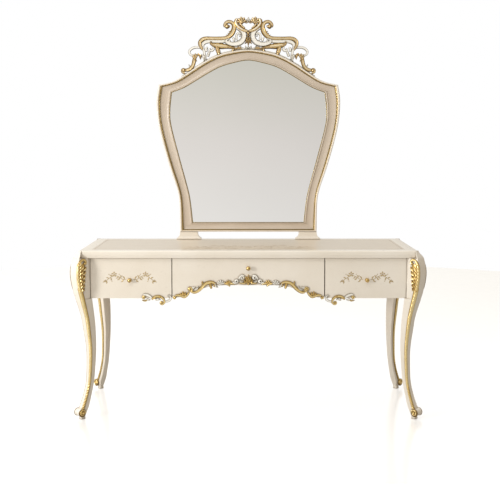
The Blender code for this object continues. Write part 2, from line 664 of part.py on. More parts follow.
REBATE_SHARE = 0.0480 / FRAME_SECTION_WIDTH
TOP_STATIONS = 25
SIDE_STATIONS = 15


def frame_member(name, outer, inner, count, origin):
    """Sweep the moulded section between two matching lines, and pull the mitres apart by the gap."""
    outer, inner = resample(outer, count), resample(inner, count)
    for line in (outer, inner):
        line[0] = line[0] + (line[1] - line[0]).normalized() * GAP / 2
        line[-1] = line[-1] + (line[-2] - line[-1]).normalized() * GAP / 2
    rings = []
    for edge, sight in zip(outer, inner):
        ring = []
        for inset, depth in FRAME_SECTION:
            place = edge.lerp(sight, inset / FRAME_SECTION_WIDTH)
            ring.append((place.x, MIRROR_FRONT_Y + depth, place.y))
        rings.append(ring)
    make_object(name, loft(rings), LACQUER, origin, smooth=True)


def both_halves(points):
    return [Vector((-p.x, p.y)) for p in reversed(points)] + points[1:]


def rebate_outline(inset):
    """Closed outline inside the frame's rebate, for the glass and the backboard."""
    outline = []
    lines = [(both_halves(spline(OUTER_TOP, 6)), both_halves(spline(INNER_TOP, 6)), TOP_STATIONS),
             (spline(OUTER_SIDE, 6), spline(INNER_SIDE, 6), SIDE_STATIONS)]
    for outer, inner, count in lines:
        pairs = zip(resample(outer, count), resample(inner, count))
        outline += [edge.lerp(sight, REBATE_SHARE + inset / FRAME_SECTION_WIDTH) for edge, sight in pairs]
    right_side = outline[-SIDE_STATIONS:]
    outline += [Vector((-p.x, p.y)) for p in reversed(right_side)]
    tidy = []
    for point in outline:
        if not tidy or (point - tidy[-1]).length > 0.001:
            tidy.append(point)
    if (tidy[0] - tidy[-1]).length < 0.001:
        tidy.pop()
    return [(point.x, point.y) for point in tidy]


def build_frame():
    top_outer, top_inner = both_halves(spline(OUTER_TOP, 6)), both_halves(spline(INNER_TOP, 6))
    frame_member("mirror_frame_top", top_outer, top_inner, TOP_STATIONS, (0, MIRROR_BACK_Y, 1.744))
    side_outer, side_inner = spline(OUTER_SIDE, 6), spline(INNER_SIDE, 6)
    frame_member("mirror_frame_right", side_outer, side_inner, SIDE_STATIONS, (0.42, MIRROR_BACK_Y, 1.2))
    left_outer = [Vector((-p.x, p.y)) for p in side_outer]
    left_inner = [Vector((-p.x, p.y)) for p in side_inner]
    frame_member("mirror_frame_left", left_outer, left_inner, SIDE_STATIONS, (-0.42, MIRROR_BACK_Y, 1.2))
    bottom_outer = [Vector((-OUTER_SIDE[-1][0], FRAME_BOTTOM)), Vector(OUTER_SIDE[-1])]
    bottom_inner = [Vector((-INNER_SIDE[-1][0], INNER_SIDE[-1][1])), Vector(INNER_SIDE[-1])]
    frame_member("mirror_frame_bottom", bottom_outer, bottom_inner, 2, (0, MIRROR_BACK_Y, FRAME_BOTTOM))

    glass_front = MIRROR_FRONT_Y + 0.0135 + GAP
    glass = prism(rebate_outline(0.0008), "Y", glass_front, glass_front + GLASS_THICKNESS)
    make_object("mirror_glass", glass, MIRROR, (0, glass_front, 1.2))
    board_front = glass_front + GLASS_THICKNESS + GAP
    board = prism(rebate_outline(0.0008), "Y", board_front, board_front + BACKBOARD_THICKNESS)
    make_object("mirror_backboard", board, BACKING, (0, board_front, 1.2))


# Openwork crest, right half: bands as x, z, half width.
HEART = [(-0.004, 1.8900, 0.010), (0.028, 1.9005, 0.0135), (0.055, 1.8900, 0.012), (0.062, 1.8680, 0.009),
         (0.045, 1.8470, 0.008), (0.020, 1.8350, 0.009), (-0.004, 1.8260, 0.010)]
SHOULDER_SCROLL = [(0.098, 1.8700, 0.012), (0.080, 1.8660, 0.010), (0.078, 1.8420, 0.011),
                   (0.092, 1.8170, 0.012), (0.118, 1.7960, 0.012), (0.155, 1.7890, 0.012),
                   (0.199, 1.7900, 0.012), (0.224, 1.7840, 0.012), (0.232, 1.7660, 0.011),
                   (0.230, 1.7420, 0.010), (0.226, 1.7000, 0.012)]
INNER_SCROLL = [(0.060, 1.8420, 0.008), (0.038, 1.8280, 0.010), (0.030, 1.8030, 0.010),
                (0.048, 1.7800, 0.011), (0.078, 1.7720, 0.010), (0.101, 1.7800, 0.008)]
LONG_LEAF = [(0.234, 1.7620, 0.007), (0.190, 1.7650, 0.009), (0.140, 1.7620, 0.008), (0.092, 1.7610, 0.009),
             (0.050, 1.7520, 0.010), (-0.004, 1.7560, 0.012)]
LEAF_DROP = [(0.158, 1.7620, 0.010), (0.152, 1.7390, 0.007), (0.146, 1.7100, 0.005)]
LOOP = [(0.228, 1.7500, 0.006), (0.256, 1.7570, 0.006), (0.288, 1.7450, 0.006), (0.289, 1.7200, 0.006),
        (0.262, 1.7130, 0.007)]
LOWER_SCROLL = [(0.250, 1.7240, 0.009), (0.264, 1.6950, 0.010), (0.282, 1.6660, 0.009),
                (0.305, 1.6470, 0.008), (0.328, 1.6370, 0.008)]
STEM = [(0.0, 1.8360, 0.008), (0.0, 1.8000, 0.010), (0.0, 1.7700, 0.020), (0.0, 1.7480, 0.020)]
CREST_DISCS = [((0.101, 1.8660), 0.021), ((0.101, 1.7820), 0.014), ((0.330, 1.6370), 0.015)]
CREST_FOOT_REACH = 0.342


def crest_base():
    """Fillet that follows the frame's upper edge and carries the carving."""
    half = [point for point in spline(OUTER_TOP, 6) if point.x < CREST_FOOT_REACH]
    line = both_halves(half)
    lower = [(p.x, p.y - 0.004) for p in line]
    upper = [(p.x, p.y + 0.0065) for p in line]
    return lower + upper[::-1]


def frame_cutter():
    """Everything under the frame's upper edge, with the joint gap."""
    line = both_halves(spline(OUTER_TOP, 6))
    return [(p.x, p.y + GAP * 1.2) for p in line] + [(0.46, 1.5), (-0.46, 1.5)]


def build_crest():
    bands = [ribbon(band) for band in (HEART, SHOULDER_SCROLL, INNER_SCROLL, LONG_LEAF, LEAF_DROP, LOOP,
                                       LOWER_SCROLL)]
    outlines = [shape for band in bands for shape in (band, mirrored(band))] + [ribbon(STEM)]
    pieces = []
    for i, outline in enumerate(outlines):
        step = 0.0004 * (i + 1)
        pieces.append(prism(outline, "Y", CREST_FRONT_Y + step, CREST_BACK_Y - step))
    for i, (centre, radius) in enumerate(CREST_DISCS):
        for side in (-1, 1):
            step = 0.0003 * (2 * i + side + 2)
            place = (side * centre[0], centre[1])
            pieces.append(drum(place, radius, CREST_FRONT_Y - step, CREST_BACK_Y - step, segments=16))
    base = prism(crest_base(), "Y", CREST_FRONT_Y, CREST_BACK_Y)
    crest = make_object("mirror_crest", base, GILDING, (0, 0, 0))
    combine(crest, pieces, "UNION")
    cutter = prism(frame_cutter(), "Y", CREST_FRONT_Y - 0.01, CREST_BACK_Y + 0.01)
    combine(crest, [cutter], "DIFFERENCE")
    origin = Vector((0, CREST_BACK_Y, OUTER_TOP[0][1]))
    crest.data.transform(crest.matrix_world.Translation(-origin))
    crest.location = origin


# Pedestal: height above the top, inner and outer x, front y.
PEDESTAL = [(GAP, 0.2400, 0.3660, 0.2090), (0.0060, 0.2400, 0.3660, 0.2090), (0.0080, 0.2430, 0.3630, 0.2110),
            (0.0120, 0.2500, 0.3580, 0.2130), (0.0180, 0.2550, 0.3530, 0.2145),
            (0.0260, 0.2575, 0.3500, 0.2150), (FRAME_BOTTOM - TABLE_HEIGHT - GAP, 0.2580, 0.3490, 0.2150)]
STRUT = {"x": (0.285, 0.331), "thickness": 0.012, "top": 1.150}


def build_mirror_supports():
    for side, word in ((-1, "left"), (1, "right")):
        rings = []
        for rise, inner, outer, front in PEDESTAL:
            x0, x1 = span(side, inner, outer)
            z = TABLE_HEIGHT + rise
            rings.append([(x0, front, z), (x1, front, z), (x1, MIRROR_BACK_Y, z), (x0, MIRROR_BACK_Y, z)])
        make_object("mirror_pedestal_" + word, loft(rings), LACQUER, (side * 0.303, 0.226, TABLE_HEIGHT))
        x0, x1 = span(side, *STRUT["x"])
        back = MIRROR_BACK_Y + GAP
        strut = box((x0, back, TABLE_HEIGHT + GAP), (x1, back + STRUT["thickness"], STRUT["top"]))
        make_object("mirror_strut_" + word, strut, DRAWER_WOOD, (side * 0.308, back, TABLE_HEIGHT))


# ---------------------------------------------------------------- build


def main():
    clear_scene()
    build_top()
    for side_y, depth in ((-1, "front"), (1, "back")):
        for side_x, word in ((-1, "left"), (1, "right")):
            build_leg("leg_" + depth + "_" + word, side_x, side_y)
    build_case()
    build_drawers()
    build_frame()
    build_crest()
    build_mirror_supports()


main()
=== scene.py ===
# %% [markdown]
# # A lacquered dressing table with a carved and gilded mirror
# The solid model of the table is loaded first and never changed. It says where every board, leg and
# drawer is, and which body it moves with. This lesson dresses it: the plain solids are replaced by
# moulded, carved and turned pieces, and everything gets ivory lacquer, antique gilding, brass, wood or
# silvered glass.

# %% Load the fixed frame
import json
import math

import bmesh
import bpy
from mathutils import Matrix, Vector

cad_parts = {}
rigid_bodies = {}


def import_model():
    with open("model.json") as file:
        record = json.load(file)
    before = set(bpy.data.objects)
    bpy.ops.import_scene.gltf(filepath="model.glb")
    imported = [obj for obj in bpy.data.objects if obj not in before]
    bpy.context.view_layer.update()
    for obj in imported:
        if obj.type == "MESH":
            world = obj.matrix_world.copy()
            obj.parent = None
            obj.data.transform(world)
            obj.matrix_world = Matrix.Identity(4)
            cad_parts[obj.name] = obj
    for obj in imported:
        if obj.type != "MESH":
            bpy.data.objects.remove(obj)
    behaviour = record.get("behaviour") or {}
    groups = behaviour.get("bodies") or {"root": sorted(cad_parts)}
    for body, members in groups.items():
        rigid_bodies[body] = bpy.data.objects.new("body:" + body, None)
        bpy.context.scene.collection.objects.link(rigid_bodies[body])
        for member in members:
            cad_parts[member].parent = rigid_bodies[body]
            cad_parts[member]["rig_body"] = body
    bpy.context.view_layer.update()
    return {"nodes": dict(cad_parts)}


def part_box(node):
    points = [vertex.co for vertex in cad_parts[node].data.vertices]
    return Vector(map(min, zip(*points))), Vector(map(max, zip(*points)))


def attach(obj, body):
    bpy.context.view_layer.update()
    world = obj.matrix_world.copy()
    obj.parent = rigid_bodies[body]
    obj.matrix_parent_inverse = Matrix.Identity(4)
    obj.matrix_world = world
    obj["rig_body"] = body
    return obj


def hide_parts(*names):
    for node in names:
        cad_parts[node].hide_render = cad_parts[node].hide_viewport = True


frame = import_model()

# %% [markdown]
# ## Sizes that everything else is worked out from
# A maker takes the positions of mouldings and carvings from the carcase in front of them. In the same
# way these sizes come from the boxes of the solid pieces, so that a moulding always lies on its board.

# %% Read the main sizes from the frame
panel_low, panel_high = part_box("top_panel")
border_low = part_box("top_border_front")[0]
front_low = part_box("drawer_right_front")[0]
apron_low, apron_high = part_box("side_apron_right")
rail_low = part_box("mirror_frame_bottom")[0]

TOP_Z = panel_high.z
UNDER_TOP = border_low.z
TOP_HALF_Y = -border_low.y
BORDER_WIDTH = TOP_HALF_Y + panel_low.y
TOP_HALF_X = panel_high.x + BORDER_WIDTH
TOP_CANT = 0.0105               # length that is cut off each corner, along both edges
FACE_Y = front_low.y
CASE_BOTTOM = front_low.z
HAIR = 0.0003                   # gap or lap that keeps two surfaces from lying in one plane
print(f"top {2 * TOP_HALF_X:.3f} x {2 * TOP_HALF_Y:.3f} m at {TOP_Z:.3f} m, drawer face at y {FACE_Y:.3f}")

# %% [markdown]
# ## Helpers for mesh work
# Most pieces here are skins: a row of outlines along a path, joined by quads. They could be made by
# hand with loop cuts, or with curves that have a bevel object. Skins built from rows of points were
# chosen, because a moulding's section, a leg's taper and a carved scroll all fit the same function.

# %% Smooth lines through a few points


def smooth_line(points, steps):
    """Curve through the points, where each point is a tuple of any length (Catmull-Rom)."""
    size = len(points[0])
    first = tuple(2 * a - b for a, b in zip(points[0], points[1]))
    last = tuple(2 * a - b for a, b in zip(points[-1], points[-2]))
    knots = [first] + list(points) + [last]
    curve = []
    for p0, p1, p2, p3 in zip(knots, knots[1:], knots[2:], knots[3:]):
        for step in range(steps):
            t = step / steps
            curve.append(tuple(0.5 * (2 * p1[k] + (p2[k] - p0[k]) * t
                                      + (2 * p0[k] - 5 * p1[k] + 4 * p2[k] - p3[k]) * t ** 2
                                      + (3 * p1[k] - p0[k] - 3 * p2[k] + p3[k]) * t ** 3)
                               for k in range(size)))
    curve.append(tuple(points[-1]))
    return curve


def spread_evenly(points, count):
    """The same line with its points at equal steps. Only the first two numbers count as distance."""
    lengths = [0.0]
    for a, b in zip(points, points[1:]):
        lengths.append(lengths[-1] + math.dist(a[:2], b[:2]))
    even, k = [], 1
    for i in range(count):
        target = lengths[-1] * i / (count - 1)
        while k < len(points) - 1 and lengths[k] < target:
            k += 1
        span = max(lengths[k] - lengths[k - 1], 1e-9)
        t = min(1.0, (target - lengths[k - 1]) / span)
        even.append(tuple(a + (b - a) * t for a, b in zip(points[k - 1], points[k])))
    return even


def mirror_x(points):
    return [(-p[0],) + tuple(p[1:]) for p in points]


# %% Skins and finished pieces

WELD = 0.000005                 # points closer together than this become one
PLAIN_NEARNESS = 0.4            # a shape that isn't a stroke lies between a crown and an edge


def skin(rows):
    """Vertices and faces of a skin over rows of points. Each row is a closed ring, and both ends are shut."""
    count = len(rows[0])
    verts = [tuple(point) for row in rows for point in row]
    faces = []
    for i in range(len(rows) - 1):
        for j in range(count):
            k = (j + 1) % count
            faces.append((i * count + j, i * count + k, (i + 1) * count + k, (i + 1) * count + j))
    faces.append(tuple(range(count)))
    faces.append(tuple(range((len(rows) - 1) * count, len(rows) * count)))
    return verts, faces


def make_piece(name, shapes, material, body="root", stands_for=(), sharp=40):
    """Join shapes into one object, give it its finish and let it ride on its body.

    A shape may carry a third list, which says for each point how near it is to the edge of its stroke.
    """
    verts, faces, nearness = [], [], []
    for shape_verts, shape_faces, *edge in shapes:
        start = len(verts)
        verts += shape_verts
        faces += [tuple(start + i for i in face) for face in shape_faces]
        nearness += edge[0] if edge else [PLAIN_NEARNESS] * len(shape_verts)
    mesh = bpy.data.meshes.new(name)
    mesh.from_pydata(verts, [], faces)
    mesh.attributes.new("edge", "FLOAT", "POINT").data.foreach_set("value", nearness)
    work = bmesh.new()
    work.from_mesh(mesh)
    bmesh.ops.remove_doubles(work, verts=work.verts, dist=WELD)
    bmesh.ops.recalc_face_normals(work, faces=work.faces)
    work.to_mesh(mesh)
    work.free()
    mesh.shade_smooth()
    mesh.set_sharp_from_angle(angle=math.radians(sharp))
    mesh.materials.append(material)
    piece = bpy.data.objects.new(name, mesh)
    bpy.context.scene.collection.objects.link(piece)
    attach(piece, body)
    if stands_for:
        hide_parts(*stands_for)
    return piece


def block(low, high):
    """Box between two corners."""
    rings = []
    for z in (low[2], high[2]):
        rings.append([(low[0], low[1], z), (high[0], low[1], z), (high[0], high[1], z), (low[0], high[1], z)])
    return skin(rings)


def turned(profile, place, steps):
    """Turn (radius, along) points about an axis. place(a, b, along) gives the point in space."""
    rings = []
    for radius, along in profile:
        ring = []
        for i in range(steps):
            angle = math.tau * i / steps
            ring.append(place(radius * math.cos(angle), radius * math.sin(angle), along))
        rings.append(ring)
    return skin(rings)


# %% [markdown]
# ## Carved strokes
# A carver works a scroll with a few long strokes: each one is a band that follows a curve, gets wider
# and narrower, and has a section such as a bead or a hollow between two rims. Sculpting would give
# softer shapes, but strokes stay editable and sharp, so each stroke is a skin over its own section.
# The place function lays the flat drawing on a surface: a flat ground or the curved side of a leg.

# %% Sections of a stroke, from one edge (-1) to the other (1)


def bead_section(t):
    return math.sqrt(max(0.0, 1 - t * t))


def scroll_section(t):
    """A hollow between two raised rims."""
    rim_place, rim_width, rim_share = 0.74, 0.17, 0.45
    rim = math.exp(-((abs(t) - rim_place) / rim_width) ** 2)
    return (1 - rim_share) * bead_section(t) + rim_share * rim * bead_section(t * 0.96)


def twin_section(t):
    """Two beads with a groove between them."""
    groove_depth, groove_place, groove_width = 0.3, 0.12, 0.16
    return bead_section(t) * (1 - groove_depth * math.exp(-((t - groove_place) / groove_width) ** 2))


def leaf_section(t):
    """A domed leaf with a middle rib and a vein on each side."""
    body, veins = 0.8, 0.16 * math.cos(3 * math.pi * t)
    return bead_section(t) * (body + veins)


# %% The stroke itself

BACK_NEARNESS = 0.68            # the flat back keeps some of its gold
BACK_SHARE = 0.96               # the back is a little narrower than the band
LEAST_HALF = 0.0002             # half width where a band closes to a point
END_RISE = 0.35                 # share of the relief that a closed end keeps
TOOTH_DEPTH = 0.22              # share of the half width that is cut away between teeth
CURL_NARROWING = 0.55           # share of the half width that a curl loses towards its eye
OUTER_RIB = 0.86                # length of a fan's outer ribs, with the middle one as 1
RIB_EDGE, LEAF_EDGE = 0.85, 0.74    # shares of the dark edge that ribs and leaves keep


def stroke(place, stations, relief, section=bead_section, steps=6, sink=0.003, across=9, taper=(0.0, 0.0),
           lift=None, serrate=0):
    """Carved band. Stations are (a, b, half width) in the drawing's plane.

    Taper gives the share of the length over which each end closes to a point, lift(s) a change of
    height along the stroke, and serrate the number of teeth along each edge.
    """
    line = smooth_line(stations, steps)
    rows, nearness = [], []
    last = len(line) - 1
    for i, (a, b, half) in enumerate(line):
        s = i / last
        before, after = line[max(i - 1, 0)], line[min(i + 1, last)]
        run_a, run_b = after[0] - before[0], after[1] - before[1]
        size = max(math.hypot(run_a, run_b), 1e-9)
        side_a, side_b = -run_b / size, run_a / size
        close = 1.0
        if taper[0] and s < taper[0]:
            close = math.sqrt(max(0.0, 1 - (1 - s / taper[0]) ** 2))
        if taper[1] and s > 1 - taper[1]:
            close = min(close, math.sqrt(max(0.0, 1 - (1 - (1 - s) / taper[1]) ** 2)))
        half = max(half * close, LEAST_HALF)
        rise = relief * (END_RISE + (1 - END_RISE) * close) * (lift(s) if lift else 1.0)
        row = []
        for j in range(across):
            t = -1 + 2 * j / (across - 1)
            t = math.sin(t * math.pi / 2)
            edge = 1.0
            if serrate:
                edge = 1 - TOOTH_DEPTH * abs(t) * (0.5 + 0.5 * math.cos(math.tau * serrate * s))
            offset = half * t * edge
            row.append(place(a + side_a * offset, b + side_b * offset, rise * section(t)))
            nearness.append(max(abs(t), 1 - close))
        for back in (half * BACK_SHARE, -half * BACK_SHARE):
            row.append(place(a + side_a * back, b + side_b * back, -sink))
        nearness += [BACK_NEARNESS, BACK_NEARNESS]
        rows.append(row)
    return (*skin(rows), nearness)


def curl(centre, radius, start, turns, half, eye=0.35, points_per_turn=8):
    """Stations of a spiral that closes in on its centre. Angles are in degrees, turns may be negative."""
    count = max(4, int(abs(turns) * points_per_turn))
    stations = []
    for i in range(count + 1):
        s = i / count
        angle = math.radians(start + 360 * turns * s)
        reach = radius * (1 - (1 - eye) * s)
        stations.append((centre[0] + reach * math.cos(angle), centre[1] + reach * math.sin(angle),
                         half * (1 - CURL_NARROWING * s)))
    return stations


def button(place, centre, radius, relief, steps=16, sink=0.003):
    """Small dome, such as the eye of a volute or the heart of a flower."""
    profile = [(radius, -sink)]
    for i in range(6):
        angle = math.radians(90 * i / 5)
        profile.append((max(radius * math.cos(angle), radius * 0.02), relief * math.sin(angle)))
    nearness = [across / radius for across, _ in profile for _ in range(steps)]
    return (*turned(profile, lambda a, b, along: place(centre[0] + a, centre[1] + b, along), steps), nearness)


def brighter(shape, share):
    """The same shape with less of its edge darkened."""
    verts, faces, nearness = shape
    return verts, faces, [value * share for value in nearness]


def fan(place, root, reach, start, end, ribs, relief, half):
    """Shell or palmette: ribs that spread from a root between two angles."""
    shapes = []
    for i in range(ribs):
        share = i / (ribs - 1)
        angle = math.radians(start + (end - start) * share)
        long = reach * (OUTER_RIB + (1 - OUTER_RIB) * math.sin(math.pi * share))
        tip = (root[0] + long * math.cos(angle), root[1] + long * math.sin(angle))
        middle = ((root[0] + tip[0]) / 2, (root[1] + tip[1]) / 2)
        stations = [(*root, half * 0.45), (*middle, half * 0.9), (*tip, half * 1.15)]
        rib = stroke(place, stations, relief, taper=(0, 0.35), steps=4, across=7)
        shapes.append(brighter(rib, RIB_EDGE))
    return shapes


def leaf_lift(s):
    """A leaf swells from its root, sinks a little and rolls up again at its tip."""
    return 0.7 + 0.5 * math.sin(math.pi * min(1, s * 1.1)) + 0.25 * s ** 3


def leaf(place, root, tip, half, relief, bend=0.0, serrate=4):
    """Acanthus leaf from root to tip, bowed sideways by bend, with a toothed edge and a rolled tip."""
    run_a, run_b = tip[0] - root[0], tip[1] - root[1]
    stations = []
    for s, width in ((0.0, 0.45), (0.3, 1.0), (0.62, 0.85), (0.85, 0.5), (1.0, 0.2)):
        bow = bend * math.sin(math.pi * s)
        stations.append((root[0] + run_a * s - run_b * bow, root[1] + run_b * s + run_a * bow, half * width))
    cut = stroke(place, stations, relief, leaf_section, steps=5, taper=(0.1, 0.18), lift=leaf_lift,
                 serrate=serrate)
    return brighter(cut, LEAF_EDGE)


def hole_shade_dome(place, centre, radius, relief):
    """Dark dome whose colour paints the shade of a drilled hole in a carved eye: all of it counts as edge."""
    verts, faces, nearness = button(place, centre, radius, relief, steps=12)
    return verts, faces, [1.0] * len(nearness)


print("carving tools ready")

# %% [markdown]
# ## Shared effects as node groups
# Every finish on this table ages in the same few ways, and a few effects paint light and shade into the
# colour. Edges wear thin, recesses get a painted shade together with a darker glaze, no surface has one
# even tone, a painted shade runs along the edge of each carved stroke, and a painted highlight lies on
# its crown. Each effect is a group with its own inputs, so lacquer, gold, brass and wood can use it with
# different values. Painting the effects by hand would also work, but it would tie them to one mesh. The
# groups only give masks and values. The shader stays in each material.

# %% Small tools for node trees


def feed(tree, socket, value):
    """Link a socket to another one, or set its value."""
    if isinstance(value, bpy.types.NodeSocket):
        tree.links.new(value, socket)
    elif hasattr(value, "__len__") and len(value) == 3 and len(socket.default_value) == 4:
        socket.default_value = (*value, 1.0)
    else:
        socket.default_value = value


def node(tree, kind, inputs=None, **settings):
    made = tree.nodes.new("ShaderNode" + kind)
    for key, value in settings.items():
        setattr(made, key, value)
    for name, value in (inputs or {}).items():
        feed(tree, made.inputs[name], value)
    return made


def maths(tree, operation, a, b=0.5, clamp=False):
    made = node(tree, "Math", operation=operation, use_clamp=clamp)
    feed(tree, made.inputs[0], a)
    feed(tree, made.inputs[1], b)
    return made.outputs[0]


def blend(tree, factor, a, b):
    """Mix two colours."""
    made = node(tree, "Mix", data_type="RGBA")
    for index, value in ((0, factor), (6, a), (7, b)):
        feed(tree, made.inputs[index], value)
    return made.outputs[2]


def remap(tree, value, from_low, from_high, to_low, to_high):
    made = node(tree, "MapRange", {"Value": value, "From Min": from_low, "From Max": from_high,
                                   "To Min": to_low, "To Max": to_high})
    return made.outputs[0]


NOISE_LOW, NOISE_HIGH = 0.3, 0.7        # nearly all values of a noise lie between these


def spread(tree, noise, low, high):
    """Stretch a noise over a range."""
    return remap(tree, noise, NOISE_LOW, NOISE_HIGH, low, high)


def object_place(tree):
    """Where a point lies on its own piece."""
    return node(tree, "TexCoord").outputs["Object"]


def tilt(tree, shader, height, strength, distance):
    """Let a height tilt the surface, as a real unevenness would."""
    bump = node(tree, "Bump", {"Strength": strength, "Distance": distance, "Height": height})
    feed(tree, shader.inputs["Normal"], bump.outputs["Normal"])


def new_group(name, inputs, outputs):
    """Empty group with named sockets. Returns its tree, and its input and output nodes."""
    tree = bpy.data.node_groups.new(name, "ShaderNodeTree")
    for label, default in inputs:
        kind = "NodeSocketVector" if hasattr(default, "__len__") else "NodeSocketFloat"
        tree.interface.new_socket(label, in_out="INPUT", socket_type=kind).default_value = default
    for label in outputs:
        tree.interface.new_socket(label, in_out="OUTPUT", socket_type="NodeSocketFloat")
    return tree, tree.nodes.new("NodeGroupInput"), tree.nodes.new("NodeGroupOutput")


def use_group(tree, group, **inputs):
    """Place a group in a material. Input names are given with _ in place of spaces."""
    made = tree.nodes.new("ShaderNodeGroup")
    made.node_tree = group
    for name, value in inputs.items():
        feed(tree, made.inputs[name.replace("_", " ")], value)
    return made.outputs


# %% The groups: mottle, painted recess shade with glaze, edge wear, grain, and painted edge shade with crown highlight


def build_mottle():
    """Cloudy change of tone, from 0 to 1, with a fine part on top."""
    tree, given, result = new_group("mottle", [("Scale", 8.0), ("Contrast", 1.0)], ["Value", "Fine"])
    place = object_place(tree)
    broad = node(tree, "TexNoise", {"Vector": place, "Scale": given.outputs["Scale"], "Detail": 3.0})
    fine_scale = maths(tree, "MULTIPLY", given.outputs["Scale"], 14.0)
    fine = node(tree, "TexNoise", {"Vector": place, "Scale": fine_scale, "Detail": 4.0, "Roughness": 0.6})
    centred = maths(tree, "SUBTRACT", broad.outputs["Fac"], 0.5)
    scaled = maths(tree, "MULTIPLY", centred, maths(tree, "MULTIPLY", given.outputs["Contrast"], 3.0))
    feed(tree, result.inputs["Value"], maths(tree, "ADD", scaled, 0.5, clamp=True))
    feed(tree, result.inputs["Fine"], fine.outputs["Fac"])
    return tree


def build_recess_shade_and_glaze():
    """Painted shade in corners and recesses, together with the dirt and glaze that gather there: 1 in a deep
    corner, 0 on open ground.
    """
    tree, given, result = new_group("recess_shade_and_glaze", [("Reach", 0.01), ("Strength", 1.0)], ["Mask"])
    shade = node(tree, "AmbientOcclusion", {"Distance": given.outputs["Reach"]}, samples=6)
    closed = maths(tree, "SUBTRACT", 1.0, shade.outputs["AO"])
    patchy = node(tree, "TexNoise", {"Vector": object_place(tree), "Scale": 90.0})
    uneven = spread(tree, patchy.outputs["Fac"], 0.75, 1.15)
    strong = maths(tree, "MULTIPLY", maths(tree, "MULTIPLY", closed, uneven), given.outputs["Strength"])
    feed(tree, result.inputs["Mask"], maths(tree, "MULTIPLY", strong, 1.6, clamp=True))
    return tree


def build_edge_wear():
    """Where hands and cloths rub: 1 on a sharp edge, broken up by noise."""
    tree, given, result = new_group("edge_wear", [("Radius", 0.0015), ("Strength", 1.0)], ["Mask"])
    rounded = node(tree, "Bevel", {"Radius": given.outputs["Radius"]}, samples=4)
    flat = node(tree, "NewGeometry")
    likeness = node(tree, "VectorMath", operation="DOT_PRODUCT")
    feed(tree, likeness.inputs[0], rounded.outputs["Normal"])
    feed(tree, likeness.inputs[1], flat.outputs["Normal"])
    sharp = remap(tree, likeness.outputs["Value"], 0.98, 0.8, 0.0, 1.0)
    patchy = node(tree, "TexNoise", {"Vector": object_place(tree), "Scale": 60.0, "Detail": 3.0})
    broken = remap(tree, patchy.outputs["Fac"], 0.42, 0.62, 0.0, 1.0)
    rubbed = maths(tree, "MULTIPLY", sharp, broken)
    worn = maths(tree, "MULTIPLY", rubbed, given.outputs["Strength"], clamp=True)
    feed(tree, result.inputs["Mask"], worn)
    return tree


def build_grain():
    """Long fibres of wood. Stretch gives how many fibres cross a metre along X, Y and Z."""
    tree, given, result = new_group("wood_grain", [("Stretch", (4.0, 60.0, 60.0)), ("Pores", 6.0)],
                                    ["Figure", "Pores"])
    place = object_place(tree)
    run = node(tree, "VectorMath", operation="MULTIPLY")
    feed(tree, run.inputs[0], place)
    feed(tree, run.inputs[1], given.outputs["Stretch"])
    figure = node(tree, "TexNoise", {"Vector": run.outputs[0], "Scale": 1.0, "Detail": 5.0,
                                     "Roughness": 0.62, "Distortion": 0.5})
    pores = node(tree, "TexNoise", {"Vector": run.outputs[0], "Scale": given.outputs["Pores"],
                                    "Detail": 2.0, "Roughness": 0.4})
    feed(tree, result.inputs["Figure"], spread(tree, figure.outputs["Fac"], 0.0, 1.0))
    feed(tree, result.inputs["Pores"], remap(tree, pores.outputs["Fac"], 0.62, 0.72, 0.0, 1.0))
    return tree


def build_painted_edge_shade():
    """Painted shade along the edge of a carved stroke, and a painted highlight on its crown."""
    tree, given, result = new_group("painted_edge_shade_and_highlight", [("Start", 0.7), ("End", 0.96)], ["Outline", "Painted Highlight"])
    place = object_place(tree)
    shake = node(tree, "TexNoise", {"Vector": place, "Scale": 120.0, "Detail": 2.0})
    near = node(tree, "Attribute", attribute_name="edge").outputs["Fac"]
    uneven = maths(tree, "ADD", near, spread(tree, shake.outputs["Fac"], -0.06, 0.06))
    cut = node(tree, "MapRange", {"Value": uneven, "From Min": given.outputs["Start"],
                                  "From Max": given.outputs["End"]}, interpolation_type="SMOOTHSTEP")
    feed(tree, result.inputs["Outline"], cut.outputs[0])
    feed(tree, result.inputs["Painted Highlight"], remap(tree, uneven, 0.1, 0.62, 1.0, 0.0))
    return tree


mottle, recess_shade_glaze_group, edge_wear, grain = build_mottle(), build_recess_shade_and_glaze(), build_edge_wear(), build_grain()
painted_edge_shade_group = build_painted_edge_shade()
print("node groups:", sorted(group.name for group in bpy.data.node_groups))

# %% [markdown]
# ## Ivory lacquer
# The table is painted wood. Several coats of ivory lacquer are rubbed down to a satin shine, and a thin
# umber glaze is wiped over them. A flat paint colour would look like plastic, so the tone drifts slowly,
# corners and mouldings get a painted umber shade together with the glaze that stays there, the edges
# are rubbed a little lighter, and faint brush marks run through the gloss. The mirror's frame is a
# darker ivory.

# %% Lacquer


def new_material(name):
    material = bpy.data.materials.new(name)
    material.use_nodes = True
    return material, material.node_tree, material.node_tree.nodes["Principled BSDF"]


ALONG_WIDTH = (3.0, 160.0, 160.0)       # brush marks that cross a metre along X, Y and Z
ALONG_DEPTH = (160.0, 3.0, 160.0)
UPRIGHT = (160.0, 160.0, 3.0)
IVORY_TONES = ((0.858, 0.8, 0.712), (0.808, 0.74, 0.637))
FRAME_TONES = ((0.65, 0.56, 0.46), (0.6, 0.505, 0.405))
UMBER_SHADE_AND_GLAZE = (0.33, 0.255, 0.16)


